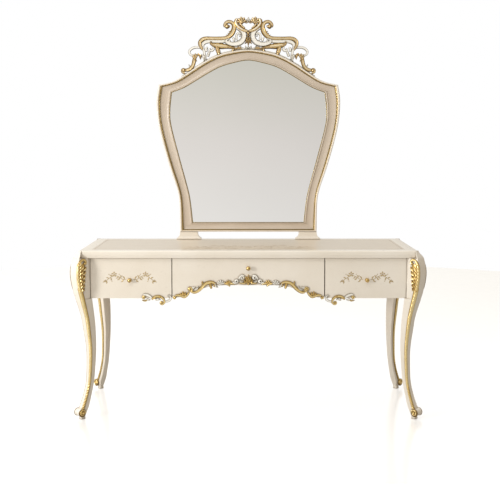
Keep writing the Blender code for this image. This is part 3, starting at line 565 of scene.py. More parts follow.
def lacquer(name, pale, deep, along):
    material, tree, shader = new_material(name)
    tone = use_group(tree, mottle, Scale=5.0, Contrast=0.9)
    fibres = use_group(tree, grain, Stretch=along, Pores=3.0)
    ground = blend(tree, tone["Value"], deep, pale)
    ground = blend(tree, maths(tree, "MULTIPLY", fibres["Figure"], 0.2), ground, deep)
    # Painted shade: corners and mouldings darken towards umber, together with the glaze that gathers there.
    corners = use_group(tree, recess_shade_glaze_group, Reach=0.008, Strength=0.75)
    shaded_and_glazed = blend(tree, corners["Mask"], ground, UMBER_SHADE_AND_GLAZE)
    rubbed = use_group(tree, edge_wear, Radius=0.0012, Strength=0.35)
    worn_tone = tuple(min(1.0, channel * 1.06) for channel in pale)
    feed(tree, shader.inputs["Base Color"], blend(tree, rubbed["Mask"], shaded_and_glazed, worn_tone))
    feed(tree, shader.inputs["Roughness"], spread(tree, tone["Fine"], 0.26, 0.4))
    relief = maths(tree, "ADD", fibres["Figure"], maths(tree, "MULTIPLY", tone["Fine"], 0.6))
    tilt(tree, shader, relief, strength=0.1, distance=0.0004)
    shader.inputs["Coat Weight"].default_value = 0.25
    shader.inputs["Coat Roughness"].default_value = 0.18
    return material


ivory = lacquer("ivory_lacquer", *IVORY_TONES, ALONG_WIDTH)
ivory_upright = lacquer("ivory_lacquer_upright", *IVORY_TONES, UPRIGHT)
ivory_deepwise = lacquer("ivory_lacquer_deepwise", *IVORY_TONES, ALONG_DEPTH)
frame_ivory = lacquer("frame_lacquer", *FRAME_TONES, ALONG_WIDTH)
frame_ivory_upright = lacquer("frame_lacquer_upright", *FRAME_TONES, UPRIGHT)
print("lacquer:", [m.name for m in (ivory, ivory_upright, ivory_deepwise, frame_ivory, frame_ivory_upright)])

# %% [markdown]
# ## Antique gilding
# The carvings are gilded: gold leaf or gold wax, burnished on the high spots and toned down with brown
# wax in the hollows. A plain gold metal has no depth, so the colour runs from a painted pale highlight on
# each stroke's crown, through leaf gold, to dark umber that paints the shade in the recesses and along
# each stroke's edge, together with the wax there, where the surface stops being metal. One function
# mixes all of it: antique gold for the crest, a brighter copy of it that paints light on the legs and the
# drawer carvings, darker gold that paints the shade lines of the mirror's frame, gold paint for the
# garlands, and near black that paints the shade of the drilled holes.

# %% Gilding, and the white paint between the gilded carvings


def gilding(name, leaf_tone, burnish_and_highlight, shade_and_wax, reach=0.006, depth=0.6, outlined=0.95, highlight_share=0.75):
    """Reach and depth are of the painted shade and wax in the hollows. The last two are shares: of the
    painted shade along each stroke's edge, and of the painted highlight on its crown.
    """
    material, tree, shader = new_material(name)
    tone = use_group(tree, mottle, Scale=28.0, Contrast=1.0)
    hollow = use_group(tree, recess_shade_glaze_group, Reach=reach, Strength=depth)
    ridge = use_group(tree, edge_wear, Radius=0.002, Strength=0.9)
    painted_edges = use_group(tree, painted_edge_shade_group, Start=0.43, End=0.88)
    aged = blend(tree, maths(tree, "MULTIPLY", tone["Value"], 0.55), leaf_tone,
                 tuple(channel * 0.72 for channel in leaf_tone))
    # Painted highlight: the crown of each stroke takes the pale tone, as worn ridges do.
    crown_highlight = maths(tree, "MULTIPLY", painted_edges["Painted Highlight"], highlight_share)
    bright = blend(tree, maths(tree, "MAXIMUM", ridge["Mask"], crown_highlight), aged, burnish_and_highlight)
    # Painted shade: recesses and the edge of each stroke darken towards the wax tone, together with the wax
    # there.
    lined = maths(tree, "MULTIPLY", painted_edges["Outline"], outlined)
    dark = maths(tree, "MAXIMUM", hollow["Mask"], lined)
    feed(tree, shader.inputs["Base Color"], blend(tree, dark, bright, shade_and_wax))
    feed(tree, shader.inputs["Metallic"], remap(tree, dark, 0.15, 0.85, 0.85, 0.15))
    feed(tree, shader.inputs["Roughness"], spread(tree, tone["Fine"], 0.22, 0.4))
    tilt(tree, shader, tone["Fine"], strength=0.35, distance=0.0006)
    return material


def carved_white():
    material, tree, shader = new_material("white_carved_paint")
    tone = use_group(tree, mottle, Scale=22.0, Contrast=0.8)
    hollow = use_group(tree, recess_shade_glaze_group, Reach=0.006, Strength=0.9)
    painted_edges = use_group(tree, painted_edge_shade_group, Start=0.42, End=0.9)
    ground = blend(tree, tone["Value"], (0.88, 0.85, 0.77), (0.94, 0.92, 0.86))
    # Painted shade: recesses and the edge of each stroke darken towards a warm brown.
    dark = maths(tree, "MAXIMUM", hollow["Mask"], maths(tree, "MULTIPLY", painted_edges["Outline"], 0.92))
    feed(tree, shader.inputs["Base Color"], blend(tree, dark, ground, (0.15, 0.12, 0.07)))
    feed(tree, shader.inputs["Roughness"], spread(tree, tone["Fine"], 0.34, 0.52))
    tilt(tree, shader, tone["Fine"], strength=0.2, distance=0.0004)
    shader.inputs["Coat Weight"].default_value = 0.15
    return material


# Tones of the leaf, of the painted highlight on crowns and worn ridges, and of the painted shade with wax in
# hollows and along edges.
ANTIQUE = ((0.72, 0.45, 0.12), (1.0, 0.92, 0.7), (0.075, 0.04, 0.008))
LIT_COPY_TONES = ((0.88, 0.6, 0.18), (1.0, 0.9, 0.56), (0.14, 0.072, 0.012))
SHADE_LINE_TONES = ((0.23, 0.165, 0.055), (0.42, 0.32, 0.13), (0.06, 0.038, 0.01))
PAINTED = ((0.6, 0.43, 0.18), (0.76, 0.6, 0.32), (0.25, 0.15, 0.05))
HOLE_SHADE_TONES = ((0.06, 0.048, 0.03), (0.09, 0.072, 0.045), (0.022, 0.017, 0.011))
gold = gilding("antique_gilding", *ANTIQUE, highlight_share=0.65)
# A brighter copy of the antique gilding for the legs and drawer carvings: it paints light that these faces
# don't get from the lamps.
lit_copy_gold = gilding("lit_copy_gilding", *LIT_COPY_TONES, reach=0.003, depth=0.5, outlined=0.9, highlight_share=0.6)
shade_line_gold = gilding("shade_line_gilding", *SHADE_LINE_TONES)
painted_gold = gilding("painted_gold", *PAINTED, reach=0.002, depth=0.4, outlined=0.5)
# Near black that paints the shade of the drilled holes.
hole_shade_gold = gilding("painted_hole_shade", *HOLE_SHADE_TONES)
white_carving = carved_white()
print("gilding:", [m.name for m in (gold, lit_copy_gold, shade_line_gold, painted_gold, hole_shade_gold, white_carving)])

# %% [markdown]
# ## Brass, steel, woods and silvered glass
# The knobs are turned brass. The drawer boxes, runners and blocks are plain hardwood, sawn along the
# grain and left under a thin varnish, and the back of the mirror is a dark board. The glass is silvered
# at its back, which from the front is a mirror with a trace of haze. The woods share one function,
# because only their tones and the direction of their fibres differ.

# %% Metals and glass


def metal(name, colour, roughness, scale, tarnish):
    material, tree, shader = new_material(name)
    tone = use_group(tree, mottle, Scale=scale, Contrast=1.0)
    rubbed = use_group(tree, edge_wear, Radius=0.001, Strength=0.8)
    corners = use_group(tree, recess_shade_glaze_group, Reach=0.006, Strength=0.9)
    ground = blend(tree, maths(tree, "MULTIPLY", tone["Value"], 0.5), colour, tarnish)
    ground = blend(tree, corners["Mask"], ground, tarnish)
    bright = tuple(min(1.0, channel * 1.25) for channel in colour)
    feed(tree, shader.inputs["Base Color"], blend(tree, rubbed["Mask"], ground, bright))
    feed(tree, shader.inputs["Roughness"], spread(tree, tone["Fine"], roughness, roughness + 0.14))
    tilt(tree, shader, tone["Fine"], strength=0.08, distance=0.0002)
    shader.inputs["Metallic"].default_value = 1.0
    return material


def mirror_silver():
    material, tree, shader = new_material("silvered_glass")
    tone = use_group(tree, mottle, Scale=3.0, Contrast=0.5)
    feed(tree, shader.inputs["Base Color"], blend(tree, tone["Value"], (0.925, 0.935, 0.925),
                                                  (0.95, 0.955, 0.945)))
    feed(tree, shader.inputs["Roughness"], spread(tree, tone["Fine"], 0.005, 0.014))
    shader.inputs["Metallic"].default_value = 1.0
    return material


brass = metal("turned_brass", (0.78, 0.56, 0.23), roughness=0.2, scale=60.0, tarnish=(0.3, 0.18, 0.055))
zinc = metal("zinc_plated_steel", (0.5, 0.5, 0.48), roughness=0.34, scale=90.0,
             tarnish=(0.26, 0.25, 0.22))
silver = mirror_silver()
print("metals:", brass.name, zinc.name, silver.name)

# %% Woods, veneer and inlay


def wood(name, pale, deep, along, roughness=0.5, relief=0.3, coat=0.0, shade_and_glaze_tone=(0.1, 0.055, 0.025)):
    material, tree, shader = new_material(name)
    tone = use_group(tree, mottle, Scale=2.5, Contrast=0.8)
    fibres = use_group(tree, grain, Stretch=along, Pores=5.0)
    corners = use_group(tree, recess_shade_glaze_group, Reach=0.02, Strength=0.6)
    ground = blend(tree, fibres["Figure"], deep, pale)
    ground = blend(tree, maths(tree, "MULTIPLY", tone["Value"], 0.25), ground, deep)
    ground = blend(tree, maths(tree, "MULTIPLY", fibres["Pores"], 0.45), ground,
                   tuple(channel * 0.55 for channel in deep))
    # Painted shade: corners darken towards this tone, together with the glaze that gathers there.
    feed(tree, shader.inputs["Base Color"], blend(tree, corners["Mask"], ground, shade_and_glaze_tone))
    gloss = remap(tree, fibres["Figure"], 0.0, 1.0, roughness + 0.1, roughness)
    feed(tree, shader.inputs["Roughness"], gloss)
    height = maths(tree, "SUBTRACT", fibres["Figure"], fibres["Pores"])
    tilt(tree, shader, height, strength=relief, distance=0.0004)
    shader.inputs["Coat Weight"].default_value = coat
    return material


# Pale and deep tone of each wood.
STAINED_TONES = ((0.75, 0.66, 0.54), (0.685, 0.585, 0.465))
WALNUT_TONES = ((0.47, 0.33, 0.19), (0.33, 0.215, 0.115))
PALE_INLAY_TONES = ((0.6, 0.49, 0.36), (0.5, 0.39, 0.27))
BEECH_TONES = ((0.64, 0.45, 0.27), (0.5, 0.325, 0.175))
BACKING_TONES = ((0.27, 0.175, 0.105), (0.17, 0.105, 0.06))
SHORT_FIBRES = (30.0, 120.0, 120.0)
veneer = wood("ivory_stained_veneer", *STAINED_TONES, (5.0, 90.0, 90.0), roughness=0.3, relief=0.08,
              coat=0.35, shade_and_glaze_tone=(0.38, 0.27, 0.16))
inlay = wood("inlay_veneer", *WALNUT_TONES, SHORT_FIBRES, roughness=0.34, relief=0.08, coat=0.3)
pale_inlay = wood("pale_inlay_veneer", *PALE_INLAY_TONES, SHORT_FIBRES, roughness=0.34, relief=0.08, coat=0.3)
beech_deep = wood("beech_along_depth", *BEECH_TONES, (90.0, 6.0, 90.0))
beech_wide = wood("beech_along_width", *BEECH_TONES, (6.0, 90.0, 90.0))
beech_tall = wood("beech_upright", *BEECH_TONES, (90.0, 90.0, 6.0))
backing = wood("mirror_backing_board", *BACKING_TONES, (70.0, 70.0, 5.0), roughness=0.65)
print("woods:", [m.name for m in (veneer, inlay, pale_inlay, beech_deep, beech_wide, beech_tall, backing)])

# %% [markdown]
# ## Boards with softened edges
# A joiner breaks every sharp edge with a pass of sandpaper, and light catches on that small round. The
# boards of the case are right as solids, so each visible one is copied, its flat faces are merged, and
# a bevel softens the edges. Modelling them again by hand would only repeat the same sizes.

# %% Copy a board and soften it

BOARD_WELD = 0.00002            # points of a board closer together than this become one


def softened(node_name, material, width, sharp=35, segments=3):
    """Piece that stands for a board of the frame, with rounded edges."""
    source = frame["nodes"][node_name]
    mesh = source.data.copy()
    mesh.name = node_name + "_softened"
    work = bmesh.new()
    work.from_mesh(mesh)
    bmesh.ops.remove_doubles(work, verts=work.verts, dist=BOARD_WELD)
    bmesh.ops.dissolve_limit(work, angle_limit=math.radians(1), verts=work.verts, edges=work.edges)
    bmesh.ops.recalc_face_normals(work, faces=work.faces)
    work.to_mesh(mesh)
    work.free()
    for name in ("custom_normal", "sharp_edge", "sharp_face"):
        if name in mesh.attributes:
            mesh.attributes.remove(mesh.attributes[name])
    mesh.materials.clear()
    mesh.materials.append(material)
    piece = bpy.data.objects.new(node_name + "_softened", mesh)
    bpy.context.scene.collection.objects.link(piece)
    rounding = piece.modifiers.new("broken_edges", "BEVEL")
    rounding.width = width
    rounding.segments = segments
    rounding.limit_method = "ANGLE"
    rounding.angle_limit = math.radians(sharp)
    rounding.use_clamp_overlap = True
    mesh.shade_smooth()
    mesh.set_sharp_from_angle(angle=math.radians(sharp))
    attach(piece, source["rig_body"])
    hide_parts(node_name)
    return piece


def board(node_name, material):
    """Give a board of the frame its finish where its shape is right as it is."""
    source = frame["nodes"][node_name]
    source.data.materials.clear()
    source.data.materials.append(material)
    for polygon in source.data.polygons:
        polygon.material_index = 0


# %% Case boards, drawer boxes and runners

for side in ("left", "right"):
    softened("side_apron_" + side, ivory_upright, 0.0015)
    softened("mirror_strut_" + side, beech_tall, 0.002)
    softened("mirror_pedestal_" + side, ivory, 0.0007, sharp=20, segments=2)
    board("divider_" + side, beech_deep)
    for place in ("front", "back"):
        board(f"corner_block_{place}_{side}", beech_tall)
    for runner in (f"runner_{side}_outer", f"runner_{side}_inner", f"runner_centre_{side}"):
        board(runner, beech_deep)
softened("back_apron", ivory, 0.0015)
board("front_rail", beech_wide)
board("top_panel", veneer)
board("mirror_backboard", backing)
board("mirror_glass", silver)
for drawer in ("drawer_left", "drawer_centre", "drawer_right"):
    softened(drawer + "_front", ivory, 0.0016)
    softened(drawer + "_side_left", beech_deep, 0.001)
    softened(drawer + "_side_right", beech_deep, 0.001)
    softened(drawer + "_back", beech_wide, 0.001)
    board(drawer + "_bottom", beech_deep)
    board(drawer + "_screw", zinc)

# %% [markdown]
# ## The moulded border of the top
# Four boards with mitred corners frame the veneered panel. Upwards from below, their outer edge is run
# with a small quarter round, a shallow ogee and a rounded nose, and the table's corners are cut off at
# 45 degrees where the legs' shoulders stand. A bevel alone can't give that profile, so the section is
# drawn with real arcs and swept to both ends, where each end is cut by the mitre or by the canted
# corner, whichever comes first.

# %% Border section and sweep

JOINT = 0.00015                 # half of the joint gap between neighbouring boards


def arc(centre_a, centre_b, radius, start, end, steps):
    """Points round part of a circle. Angles in degrees."""
    turns = [math.radians(start + (end - start) * i / steps) for i in range(steps + 1)]
    return [(centre_a + radius * math.cos(turn), centre_b + radius * math.sin(turn)) for turn in turns]


def border_section():
    """From under the edge, round the moulding to the inner edge: inset from the outside, and height."""
    quarter, nose, ogee_foot, ogee_height, ogee_steps = 0.0026, 0.0075, 0.003, 0.014, 6
    foot = arc(2 * quarter, UNDER_TOP + quarter, quarter, 270, 180, 4)
    ogee = []
    for i in range(1, ogee_steps + 1):
        share = i / ogee_steps
        inset = quarter * (1 - math.sin(math.pi / 2 * share) ** 2)
        ogee.append((inset, UNDER_TOP + ogee_foot + ogee_height * share))
    nose_arc = arc(nose, TOP_Z - nose, nose, 180, 90, 9)
    inner = BORDER_WIDTH - JOINT
    return [(0.007, UNDER_TOP)] + foot + ogee + nose_arc + [(inner, TOP_Z), (inner, UNDER_TOP)]


def border_shape(along_x, side):
    half_length, half_depth = (TOP_HALF_X, TOP_HALF_Y) if along_x else (TOP_HALF_Y, TOP_HALF_X)
    rows = []
    for end in (-1, 1):
        row = []
        for inset, height in border_section():
            reach = min(half_length - inset - JOINT * math.sqrt(2), half_length - TOP_CANT + inset)
            length, depth = end * reach, side * (half_depth - inset)
            row.append((length, depth, height) if along_x else (depth, length, height))
        rows.append(row)
    return skin(rows)


for word, along_x, side in (("front", True, -1), ("back", True, 1), ("left", False, -1), ("right", False, 1)):
    border_node = "top_border_" + word
    make_piece(border_node + "_moulded", [border_shape(along_x, side)], ivory if along_x else ivory_deepwise,
               stands_for=[border_node])
print("border section has", len(border_section()), "points")

# %% [markdown]
# ## Cabriole legs
# Each leg is sawn from a thick blank, bends out at the knee and in at the ankle, and ends in a scroll
# foot. It stands on the diagonal of the table, so its outer face is across the corner. The section is
# a square with rounded corners whose middle moves along the diagonal. Sculpting or two crossed curves
# could give the same bend, but a row of sections keeps every arris clean for the gilded bead on it.

# %% The leg's line and a way to place things on its surface

# Height, distance of the section's middle outside the top's corner, and half of its side.
LEG_LINE = [
    (0.018, -0.016, 0.0115), (0.042, -0.0195, 0.016), (0.063, -0.0284, 0.0163),
    (0.1005, -0.042, 0.0146), (0.1564, -0.0574, 0.014), (0.212, -0.064, 0.0147),
    (0.314, -0.0679, 0.017), (0.416, -0.0586, 0.0212), (0.4718, -0.0503, 0.0228),
    (0.55, -0.031, 0.0276), (0.6, -0.0186, 0.0297), (0.66, -0.0085, 0.0308),
    (0.705, -0.009, 0.0304), (0.73, -0.011, 0.0282), (0.7457, -0.01275, 0.02625),
]
LEG_CURVE = smooth_line(LEG_LINE, 6)
POST_REACH = 0.0099             # how far a post stands in past the side apron
POST_X = apron_low.x - POST_REACH
POST_INNER_Y = apron_high.y + HAIR
CASE_HALF_X = apron_high.x
ARRIS_RADIUS = 0.0042


def leg_section(height):
    """Distance of the section's middle outside the corner, and its half side, at a height."""
    for low, high in zip(LEG_CURVE, LEG_CURVE[1:]):
        if height <= high[0]:
            t = max(0.0, (height - low[0]) / (high[0] - low[0]))
            return low[1] + (high[1] - low[1]) * t, low[2] + (high[2] - low[2]) * t
    return LEG_CURVE[-1][1], LEG_CURVE[-1][2]


def leg_place(side_x, side_y, out, across, height):
    x = TOP_HALF_X + (out + across) / math.sqrt(2)
    y = TOP_HALF_Y + (out - across) / math.sqrt(2)
    return (side_x * x, side_y * y, height)


def arris_place(side_x, side_y, edge):
    """Drawing plane wrapped over an outer arris: a runs from it onto the side face, b is the height."""
    def place(a, b, lift):
        middle, half = leg_section(b)
        radius, quarter = ARRIS_RADIUS, ARRIS_RADIUS * math.pi / 4
        if abs(a) <= quarter:
            turn = (a / quarter + 1) * math.pi / 4
            out = half - radius + (radius + lift) * math.cos(turn)
            across = half - radius + (radius + lift) * math.sin(turn)
        elif a > 0:
            out, across = half - radius - (a - quarter), half + lift
        else:
            out, across = half + lift, half - radius + (a + quarter)
        return leg_place(side_x, side_y, middle + out, edge * across, b)
    return place


def leg_ring(side_x, side_y, height, middle, half, trimmed):
    """Rounded square. Above the case's lower edge it is trimmed flush with the drawer side of the post."""
    radius = min(ARRIS_RADIUS, half * 0.45)
    ring = []
    for corner in range(4):
        start = 90 * corner
        sign_a = 1 if corner in (0, 3) else -1
        sign_b = 1 if corner in (0, 1) else -1
        centre_out, centre_across = sign_a * (half - radius), sign_b * (half - radius)
        for out, across in arc(centre_out, centre_across, radius, start, start + 90, 5):
            x, y, z = leg_place(side_x, side_y, middle + out, across, height)
            if trimmed and abs(x) < POST_X:
                x = side_x * POST_X
            ring.append((x, y, z))
    return ring


# %% Body, post and shoulder of a leg

# The shoulder outside the canted corner of the top: height, outer face, half width.
SHOULDER = [(0.744, 0.0135, 0.0262), (0.75, 0.0112, 0.025), (0.755, 0.0079, 0.0236),
            (0.76, 0.0043, 0.0206), (0.765, 0.0005, 0.0168), (0.771, -0.0032, 0.013),
            (0.777, -0.0058, 0.011), (0.78, -0.0068, 0.0103)]
# It laps a little over both faces of the top's border beside the canted corner.
SHOULDER_BACK, SHOULDER_HALF_BACK = -0.0078, 0.0084


def leg_body(side_x, side_y):
    case_edge, trim_step = CASE_BOTTOM - HAIR, 0.0001
    rings = []
    for height, middle, half in LEG_CURVE:
        if rings and rings[-1][0][2] < case_edge <= height:
            edge_middle, edge_half = leg_section(case_edge)
            rings.append(leg_ring(side_x, side_y, case_edge, edge_middle, edge_half, False))
            rings.append(leg_ring(side_x, side_y, case_edge + trim_step, edge_middle, edge_half, True))
        rings.append(leg_ring(side_x, side_y, height, middle, half, height > case_edge))
    shoulder = []
    for height, outer, half in SHOULDER:
        soft = min(0.003, half / 4)
        nose = arc(outer - soft, half - soft, soft, 90, 0, 4)
        side = [(SHOULDER_BACK, SHOULDER_HALF_BACK)] + nose
        ring = side + [(a, -b) for a, b in reversed(side)]
        shoulder.append([leg_place(side_x, side_y, a, b, height) for a, b in ring])
    post_x = sorted((side_x * POST_X, side_x * CASE_HALF_X))
    post_y = sorted((side_y * POST_INNER_Y, side_y * -FACE_Y))
    post = block((post_x[0], post_y[0], CASE_BOTTOM), (post_x[1], post_y[1], UNDER_TOP - HAIR))
    return [skin(rings), skin(shoulder), post]


# %% [markdown]
# ## Scroll feet
# Under the ankle the leg rolls outwards into a short scroll that stands on a small block. The roll is a
# turned barrel lying across the leg, and each of its ends carries a gilded spiral. A torus would do for
# the roll, but a turned profile gives it the slight waist and the rolled rims of the carved one.

# %% Foot roll, spiral ends and pad

ROLL_OUT, ROLL_HEIGHT, ROLL_RADIUS, ROLL_HALF = -0.0021, 0.032, 0.018, 0.0195
PAD_OUT, PAD_HALF, PAD_HEIGHT, PAD_SOFT = -0.0141, 0.0115, 0.02, 0.003
FOOT_EDGE = 0.8                 # share of the dark edge that the spirals keep


def foot_roll(side_x, side_y):
    profile = []
    for i in range(13):
        t = -1 + 2 * i / 12
        rim = 0.0012 * math.exp(-((abs(t) - 0.86) / 0.12) ** 2)
        waist = 0.0014 * (1 - t * t)
        round_off = 0.0022 if abs(t) > 0.99 else 0.0
        profile.append((ROLL_RADIUS - waist + rim - 0.0008 - round_off, t * ROLL_HALF))
    return turned(profile, lambda a, b, along: leg_place(side_x, side_y, ROLL_OUT + a, along,
                                                         ROLL_HEIGHT + b), 40)


def roll_end_place(side_x, side_y, end):
    return lambda a, b, lift: leg_place(side_x, side_y, ROLL_OUT + a, end * (ROLL_HALF + lift),
                                        ROLL_HEIGHT + b)


def foot_spiral(side_x, side_y, end):
    """Gilded spiral on the end of the roll, which starts under the ankle."""
    place = roll_end_place(side_x, side_y, end)
    coil = curl((0, 0), 0.015, 200, -1.3, 0.0042, eye=0.42, points_per_turn=9)
    profile = [(0.0185, -0.003), (0.0188, 0.0002), (0.0176, 0.0008), (0.0001, 0.0008)]
    ground = turned(profile, place, 40)
    # The disc under the spiral counts wholly as edge, so its gold darkens to paint the shade in the groove
    # between the coils.
    return [(*ground, [1.0] * len(ground[0])),
            brighter(stroke(place, coil, 0.0058, steps=4, taper=(0.08, 0.1), sink=0.001), FOOT_EDGE),
            brighter(button(place, (0, 0), 0.0062, 0.009, sink=0.001), FOOT_EDGE)]


def foot_pad(side_x, side_y):
    rings = []
    profile = ((0.0, -0.0014), (0.001, -0.0003), (0.003, 0.0), (0.008, -0.0004), (0.012, -0.0008),
               (0.016, 0.0), (PAD_HEIGHT, 0.0002))
    for height, grow in profile:
        flat = PAD_HALF + grow - PAD_SOFT
        ring = []
        for corner in range(4):
            sign_a = 1 if corner in (0, 3) else -1
            sign_b = 1 if corner in (0, 1) else -1
            for a, b in arc(sign_a * flat, sign_b * flat, PAD_SOFT, 90 * corner, 90 * corner + 90, 3):
                ring.append(leg_place(side_x, side_y, PAD_OUT + a, b, height))
        rings.append(ring)
    return skin(rings)


# %% [markdown]
# ## Gilded beads and acanthus on the arrises
# A bead runs down each outer arris from the knee to the foot. A shallow groove splits it in two, and
# near the foot it is cut as a rope. On the knee it opens into an acanthus leaf that ends in a small
# volute under the top, with small leaves that overlap along its rib. Separate curves would drift off
# the wood. All of it lies on the arris through one place function instead, so it follows the bend.

# %% Bead with a rope end

BEAD_TOP, BEAD_FOOT, BEAD_RISE = 0.61, 0.04, 0.0036
BEAD_SHARE = 0.36               # share of the leg's face that a bead takes up
ROPE_TOP, ROPE_PITCH = 0.175, 0.0125
ROPE_BLEND = 0.04               # height over which the bead turns into the rope


def arris_bead(side_x, side_y, edge):
    place = arris_place(side_x, side_y, edge)
    beside = 1.0 if edge > 0 else 0.0
    rows, nearness, last, across = [], [], 190, 13
    for i in range(last + 1):
        height = BEAD_FOOT + (BEAD_TOP - BEAD_FOOT) * i / last
        wide = BEAD_SHARE * leg_section(height)[1] * math.sqrt(2)
        rope = min(1.0, max(0.0, (ROPE_TOP - height) / ROPE_BLEND))
        row = []
        for j in range(across):
            t = math.sin((-1 + 2 * j / (across - 1)) * math.pi / 2)
            groove = twin_section(t)
            twist = 0.5 + 0.5 * math.cos(math.tau * (height / ROPE_PITCH - 0.75 * t))
            rise = BEAD_RISE * (groove * (1 - rope) + bead_section(t) * rope * (0.45 + 0.75 * twist))
            row.append(place(wide * (t + beside), height, rise))
            # Between the twists of the rope the gold darkens: painted shade in the grooves.
            nearness.append(max(abs(t) * 0.92, rope * (0.95 - 0.9 * twist)))
        for back in (0.9, -0.9):
            row.append(place(wide * (beside + back), height, -0.003))
        nearness += [1.0, 1.0]
        rows.append(row)
    return (*skin(rows), nearness)


# %% Acanthus of the knee

KNEE_LEAVES = ((0.708, 0.041), (0.688, 0.039), (0.668, 0.036), (0.648, 0.032), (0.629, 0.027), (0.612, 0.021))
LONGEST_LEAF = KNEE_LEAVES[0][1]        # each of them is a height and a reach across the leg's face
RIB_LEAVES, RIB_LEAF_FOOT, RIB_LEAF_STEP = 9, 0.606, 0.0148


def flat_ground(t):
    """A thin ground that is flat between its two edges."""
    return min(1.0, 3.0 * (1 - abs(t)))


def knee_acanthus(side_x, side_y, edge):
    place = arris_place(side_x, side_y, edge)
    inward = 0.0065 if edge > 0 else 0.0
    rib = [(0.001, 0.594, 0.007), (0.001, 0.625, 0.008), (0.001, 0.66, 0.008), (0.001, 0.695, 0.0075),
           (0.003, 0.72, 0.007), (0.011, 0.736, 0.0066), (0.024, 0.74, 0.0062), (0.035, 0.734, 0.0056),
           (0.038, 0.724, 0.0048), (0.032, 0.717, 0.004)]
    rib = [(a + inward, b, half) for a, b, half in rib]
    shapes = [stroke(place, rib, 0.0055, taper=(0.05, 0.08), across=11),
              button(place, (0.029 + inward, 0.724), 0.0056, 0.0085)]
    ground = [(0.004, 0.6, 0.005), (0.011, 0.63, 0.011), (0.016, 0.665, 0.015), (0.019, 0.7, 0.017),
              (0.021, 0.724, 0.014)]
    shapes.append(stroke(place, ground, 0.0022, flat_ground, taper=(0.1, 0.1)))
    for height, reach in KNEE_LEAVES:
        size = reach / LONGEST_LEAF
        shapes.append(leaf(place, (0.006, height - 0.012), (reach * 0.62, height + 0.01), 0.0064 * size,
                           0.0085, bend=-0.2, serrate=2))
        shapes.append(leaf(place, (reach * 0.4, height - 0.014), (reach, height + 0.001), 0.0066 * size,
                           0.0072, bend=-0.25, serrate=2))
        shapes.append(button(place, (reach * 0.6, height - 0.005), 0.003, 0.0095))
    for i in range(RIB_LEAVES):
        height = RIB_LEAF_FOOT + RIB_LEAF_STEP * i
        root, tip = (inward - 0.002, height - 0.01), (inward + 0.008, height + 0.006)
        shapes.append(leaf(place, root, tip, 0.0048, 0.0086, bend=-0.25, serrate=0))
    return shapes


# %% Four legs

for word_y, side_y in (("front", -1), ("back", 1)):
    for word_x, side_x in (("left", -1), ("right", 1)):
        leg_node = f"leg_{word_y}_{word_x}"
        parts = leg_body(side_x, side_y) + [foot_roll(side_x, side_y)]
        make_piece(leg_node + "_body", parts, ivory_upright, stands_for=[leg_node], sharp=30)
        make_piece(leg_node + "_pad", [foot_pad(side_x, side_y)], ivory_upright)
        gilded = []
        for edge in (-1, 1):
            gilded.append(arris_bead(side_x, side_y, edge))
            gilded += knee_acanthus(side_x, side_y, edge)
            gilded += foot_spiral(side_x, side_y, edge)
        make_piece(leg_node + "_gilding", gilded, lit_copy_gold, sharp=50)
print("legs made; a leg's bead has", len(arris_bead(1, -1, 1)[0]), "points")

# %% [markdown]
# ## Carvings under the drawers
# Rococo scrolls are glued along the lower edge of the drawer fronts: gilded C- and S-scrolls with white
# shells and leaves between them, and white eyes on the arch, each with a dark dome that paints the shade
# of a drilled hole. They are drawn flat in x and z like a full-size pattern, one stroke for each scroll,
# and the left pattern is turned over for the right. One carved sheet would tie them together, but like
# this they ride with their drawers.

# %% Place functions for flat grounds, and the side drawers' carvings


def face_place(a, b, lift):
    """On the drawer fronts: a is x and b is z."""
    return (a, FACE_Y - HAIR - lift, b)


def flipped(place):
    """The same plane with its drawing turned over from left to right."""
    return lambda a, b, lift: place(-a, b, lift)


def volute(place, centre, radius, start, turns, half, relief=0.007):
    """A scroll that winds round a button."""
    coil = curl(centre, radius - half * 0.8, start, turns, half, eye=0.3)
    return [stroke(place, coil, relief, scroll_section, steps=4, taper=(0.0, 0.12), across=11),
            button(place, centre, half * 0.95, relief * 1.25)]


def side_carving(place):
    """Left drawer's ornament. Returns its gilded and its white shapes."""
    gilt = volute(place, (-0.48, 0.5636), 0.0115, -60, -1.3, 0.0042)
    gilt.append(stroke(place, [(-0.444, 0.55, 0.003), (-0.439, 0.559, 0.005), (-0.425, 0.5665, 0.006),
                               (-0.406, 0.5655, 0.0065), (-0.392, 0.556, 0.006), (-0.386, 0.544, 0.005),
                               (-0.387, 0.534, 0.004)], 0.008, scroll_section, across=11, taper=(0.1, 0)))
    gilt += volute(place, (-0.3985, 0.5375), 0.013, 10, -1.3, 0.0046)
    gilt.append(leaf(place, (-0.462, 0.556), (-0.49, 0.55), 0.0045, 0.006, bend=0.25))
    gilt.append(leaf(place, (-0.442, 0.552), (-0.424, 0.556), 0.005, 0.008, bend=0.25))
    gilt.append(leaf(place, (-0.408, 0.558), (-0.399, 0.568), 0.0045, 0.009, bend=0.3))
    white = [stroke(place, [(-0.486, 0.574, 0.003), (-0.472, 0.575, 0.006), (-0.456, 0.569, 0.007),
                            (-0.446, 0.56, 0.005), (-0.44, 0.55, 0.003)], 0.007, scroll_section,
                    across=11, taper=(0.12, 0.12))]
    white.append(leaf(place, (-0.428, 0.548), (-0.404, 0.55), 0.007, 0.007, bend=0.2))
    white.append(leaf(place, (-0.47, 0.556), (-0.45, 0.552), 0.006, 0.006, bend=-0.2))
    white.append(stroke(place, [(-0.385, 0.54, 0.003), (-0.373, 0.544, 0.0055), (-0.361, 0.55, 0.0055),
                                (-0.357, 0.562, 0.0045), (-0.362, 0.571, 0.0035)], 0.0075,
                        scroll_section, across=11, taper=(0.1, 0)))
    white += volute(place, (-0.3665, 0.569), 0.0062, 20, 1.0, 0.0024)
    return gilt, white


